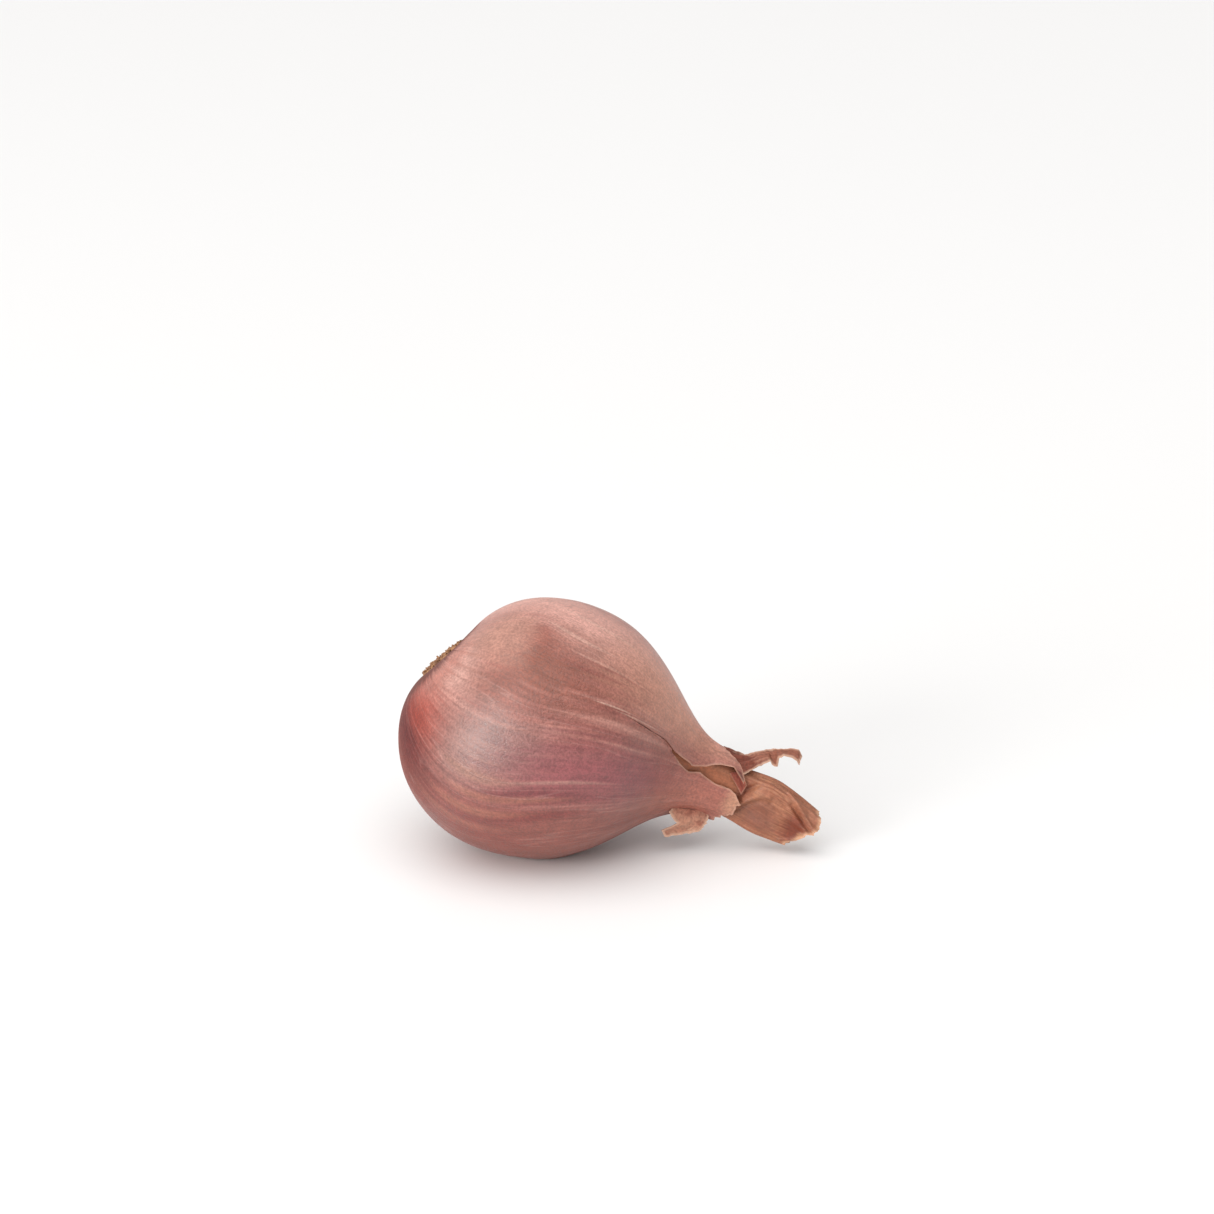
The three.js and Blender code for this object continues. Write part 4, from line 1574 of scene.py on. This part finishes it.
@dataclass
class RootPlate:
    """The corky disc at the root end, with its cut-off roots."""

    # depth and radius, from its outer face over the rim to its inner face
    profile: Table = ((-1.0, 1.6), (-0.9, 3.2), (-0.6, 4.2), (-0.3, 4.5), (0.15, 4.3))
    poles: Pair = (-1.05, 0.25)  # depth of the middle of either face
    lobes: int = 5
    lobe_share: float = 0.04  # half of what the rim dips between its lobes, over its radius
    rough_rim: Folds = Folds(0.12, 4, (9, 14, 23, 31), 2.0)
    rough_from: Pair = (1.5, 3.0)  # radii between which the rim's roughness grows
    rough_face: Folds = Folds(0.1, 9, (7, 12, 19), 3.0)
    rough_steps: Pair = (2.0, 2.5)  # how fast the rim's and the face's roughness change inwards
    columns: int = 96
    rows: int = 44
    stubs: int = 90
    stub_length: Pair = (0.05, 0.35)
    stub_radius: float = 0.22
    stub_radii: Pair = (0.6, 1.2)  # share of it, at the least and at the most
    stub_taper: float = 0.45  # share of its radius that a stub loses towards its tip
    stub_sunk: float = 0.4  # length inside the disc
    stub_spread: Pair = (0.95, 1.22)  # distance of a foot and of a tip over that on the disc
    stub_lean: float = 0.3  # how far a tip is drawn aside, over its length
    stub_turn: float = 137.5  # degrees from one stub to the next
    stub_wander: float = 14.0  # degrees that a stub is turned on from there, at most
    stub_net: tuple[int, int] = (7, 8)  # rows and columns
    stub_cap: float = 0.05  # how far its ends bulge
    stub_aside: Triple = (0.3, 1.0, 0.2)  # a direction that no stub has
    stubs_reach: float = 3.7  # distance of the outermost stubs from the disc's middle
    face: Pair = (-1.0, 0.4)  # depth of the face, and how much deeper it is at the outermost stubs
    seed: int = 7

    def point(self, depth: Array | float, radius: Array | float, angle: Array | float) -> Array:
        """Gives points of the plate.

        Args:
            depth: Depth of each point below the root end.
            radius: Its distance from the middle.
            angle: Its angle about the middle, in degrees.

        Returns:
            The points, in millimetres.
        """
        up, front, inward = LOFT.root_axes()
        turn = np.radians(angle)[..., None]
        across = up * np.cos(turn) + front * np.sin(turn)
        pole = LOFT.smooth(0.0, 0.0)
        return pole + inward * np.asarray(depth)[..., None] + across * np.asarray(radius)[..., None]

    def _disc(self, maker: MeshMaker) -> None:
        """Adds the disc, with its rough faces.

        Args:
            maker: Where it goes.
        """
        angle = np.linspace(180, -180, self.columns + 1)[:-1]
        steps = np.linspace(0, len(self.profile) - 1, self.rows)
        numbers = np.arange(len(self.profile))
        depth, radius = (np.interp(steps, numbers, column)[:, None] for column in zip(*self.profile))
        dip = np.cos(np.radians(self.lobes * angle)) - 1
        rim_steps, face_steps = self.rough_steps
        rough = self.rough_rim.at(steps[:, None] * rim_steps, angle[None, :])
        rough = rough * ramp(radius, *self.rough_from)
        radius = radius * (1 + self.lobe_share * dip[None, :]) + rough
        depth = depth + self.rough_face.at(radius * face_steps, angle[None, :])
        turn = np.broadcast_to(angle, radius.shape)
        points = self.point(depth, radius, turn)
        way = np.stack([np.cos(np.radians(turn)), np.sin(np.radians(turn)), radius], -1)
        index = maker.add(Net(points, way))
        maker.quads(index, closed=True)
        for pole, ring in zip(self.poles, (index[0], index[-1][::-1])):
            maker.cap(ring, self.point(pole, 0.0, 0.0))

    def _stub(self, maker: MeshMaker, number: int, random: np.random.Generator) -> None:
        """Adds one cut-off root: a bent tapering stub, sunk into the disc.

        Args:
            maker: Where it goes.
            number: Which of the stubs it is.
            random: What its size and lean are drawn from.
        """
        length = random.uniform(*self.stub_length)
        out = math.sqrt((number + 0.5) / self.stubs)
        angle = self.stub_turn * number + random.uniform(0, self.stub_wander)
        face = self.face[0] + self.face[1] * out**2
        near, far = (self.stubs_reach * out * spread for spread in self.stub_spread)
        foot = self.point(face + self.stub_sunk, near, angle)
        tip = self.point(face - length, far, angle)
        lean = random.uniform(-self.stub_lean, self.stub_lean, 3) * length
        rows, columns = self.stub_net
        t = np.linspace(0, 1, rows)[:, None]
        line = foot + (tip - foot) * t + lean * (t**2)
        along = unit(np.gradient(line, axis=0))
        side = unit(np.cross(along, self.stub_aside))
        turn = np.linspace(0, 2 * math.pi, columns + 1)[None, :-1, None]
        radius = self.stub_radius * random.uniform(*self.stub_radii) * (1 - self.stub_taper * t[:, 0])
        ring = side[:, None] * np.cos(turn) + np.cross(along, side)[:, None] * np.sin(turn)
        points = line[:, None] + ring * radius[:, None, None]
        index = maker.add(Net(points, np.broadcast_to(np.array([1.0, 0.0, 0.0]), points.shape)))
        maker.quads(index, flip=True, closed=True)
        maker.cap(index[0], line[0] - along[0] * self.stub_cap)
        maker.cap(index[-1][::-1], line[-1] + along[-1] * self.stub_cap)

    def build(self) -> bpy.types.Object:
        """Builds the plate with its roots and dresses it.

        Returns:
            The piece.
        """
        maker = MeshMaker("root_plate_cork")
        self._disc(maker)
        random = np.random.default_rng(self.seed)
        for number in range(self.stubs):
            self._stub(maker, number, random)
        return dress(maker.make(), CORK_FINISH, "root_plate")


# ---- studio


@dataclass(frozen=True)
class Softbox:
    """A soft rectangular lamp that points at a spot."""

    name: str
    place: Triple
    aim: Triple
    size: Pair
    power: float  # watts

    def build(self) -> None:
        """Builds the lamp."""
        lamp = bpy.data.lights.new(self.name, "AREA")
        lamp.shape = "RECTANGLE"
        lamp.size, lamp.size_y = self.size
        lamp.energy = self.power
        thing = linked(self.name, lamp)
        thing.location = self.place
        direction = Vector(self.aim) - Vector(self.place)
        thing.rotation_euler = direction.to_track_quat("-Z", "Y").to_euler()


@dataclass
class Studio:
    """A pale plain floor, soft light and the camera, in metres and degrees."""

    floor_size: float = 12.0
    floor_color: Color = (0.88, 0.8712, 0.8624, 1.0)
    floor_roughness: float = 0.35
    floor_gloss: float = 0.25
    world_strength: float = 0.5
    sun_strength: float = 2.1
    sun_softness: float = 75.0  # degrees of sky that the overhead light comes from
    sun_tilt: Triple = (18.0, -12.0, 0.0)
    key: Softbox = Softbox("key_softbox", (-0.7, -0.66, 0.25), (0, 0, 0.02), (0.5, 0.48), 6.9)
    elevation: float = 20.0
    distance: float = 0.75
    aim: Triple = (0.00948387, 0.01314019, 0.03610238)
    focal_pixels: float = 4650.0  # focal length, where the frame is frame_pixels wide
    frame_pixels: float = 1214.0
    sensor_width: float = 36.0
    clip_end: float = 20.0

    def _floor(self) -> None:
        """Builds the floor."""
        half = self.floor_size / 2
        mesh = bpy.data.meshes.new("floor")
        corners = [(-half, -half, 0), (half, -half, 0), (half, half, 0), (-half, half, 0)]
        mesh.from_pydata(corners, [], [(0, 1, 2, 3)])
        material, _, shader = new_material("floor_finish")
        shader.inputs["Base Color"].default_value = self.floor_color
        shader.inputs["Roughness"].default_value = self.floor_roughness
        shader.inputs["Specular IOR Level"].default_value = self.floor_gloss
        mesh.materials.append(material)
        linked("floor", mesh)

    def _light(self) -> None:
        """Sets the soft light."""
        world = bpy.data.worlds.new("studio")
        bpy.context.scene.world = world
        world.use_nodes = True
        background = world.node_tree.nodes["Background"]
        background.inputs["Color"].default_value = (1, 1, 1, 1)
        background.inputs["Strength"].default_value = self.world_strength
        lamp = bpy.data.lights.new("overhead", "SUN")
        lamp.energy = self.sun_strength
        lamp.angle = math.radians(self.sun_softness)
        linked("overhead", lamp).rotation_euler = Euler([math.radians(a) for a in self.sun_tilt])
        self.key.build()

    def _camera(self) -> None:
        """Sets the camera."""
        camera = bpy.data.cameras.new("camera")
        camera.sensor_width = self.sensor_width
        camera.lens = self.focal_pixels / self.frame_pixels * self.sensor_width
        camera.clip_end = self.clip_end
        thing = linked("camera", camera)
        tilt = math.radians(self.elevation)
        thing.location = Vector(self.aim) + Vector((0.0, -math.cos(tilt), math.sin(tilt))) * self.distance
        thing.rotation_euler = Euler((math.radians(90 - self.elevation), 0, 0))
        bpy.context.scene.camera = thing

    def build(self) -> None:
        """Builds the studio."""
        self._floor()
        self._light()
        self._camera()
        bpy.context.scene.view_settings.view_transform = "Standard"


def main() -> None:
    """Builds every piece in order and reports it."""
    logging.basicConfig(level=logging.INFO, format="%(name)s: %(message)s")
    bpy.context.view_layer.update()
    Studio().build()
    for builder in (OuterSkin(), Bulb(), INNER_TIP, TORN_LEAF, HANGING_SHRED, RootPlate()):
        piece = builder.build()
        LOG.info("%s: %d faces", piece.name, len(piece.data.polygons))


if __name__ == "__main__":
    main()
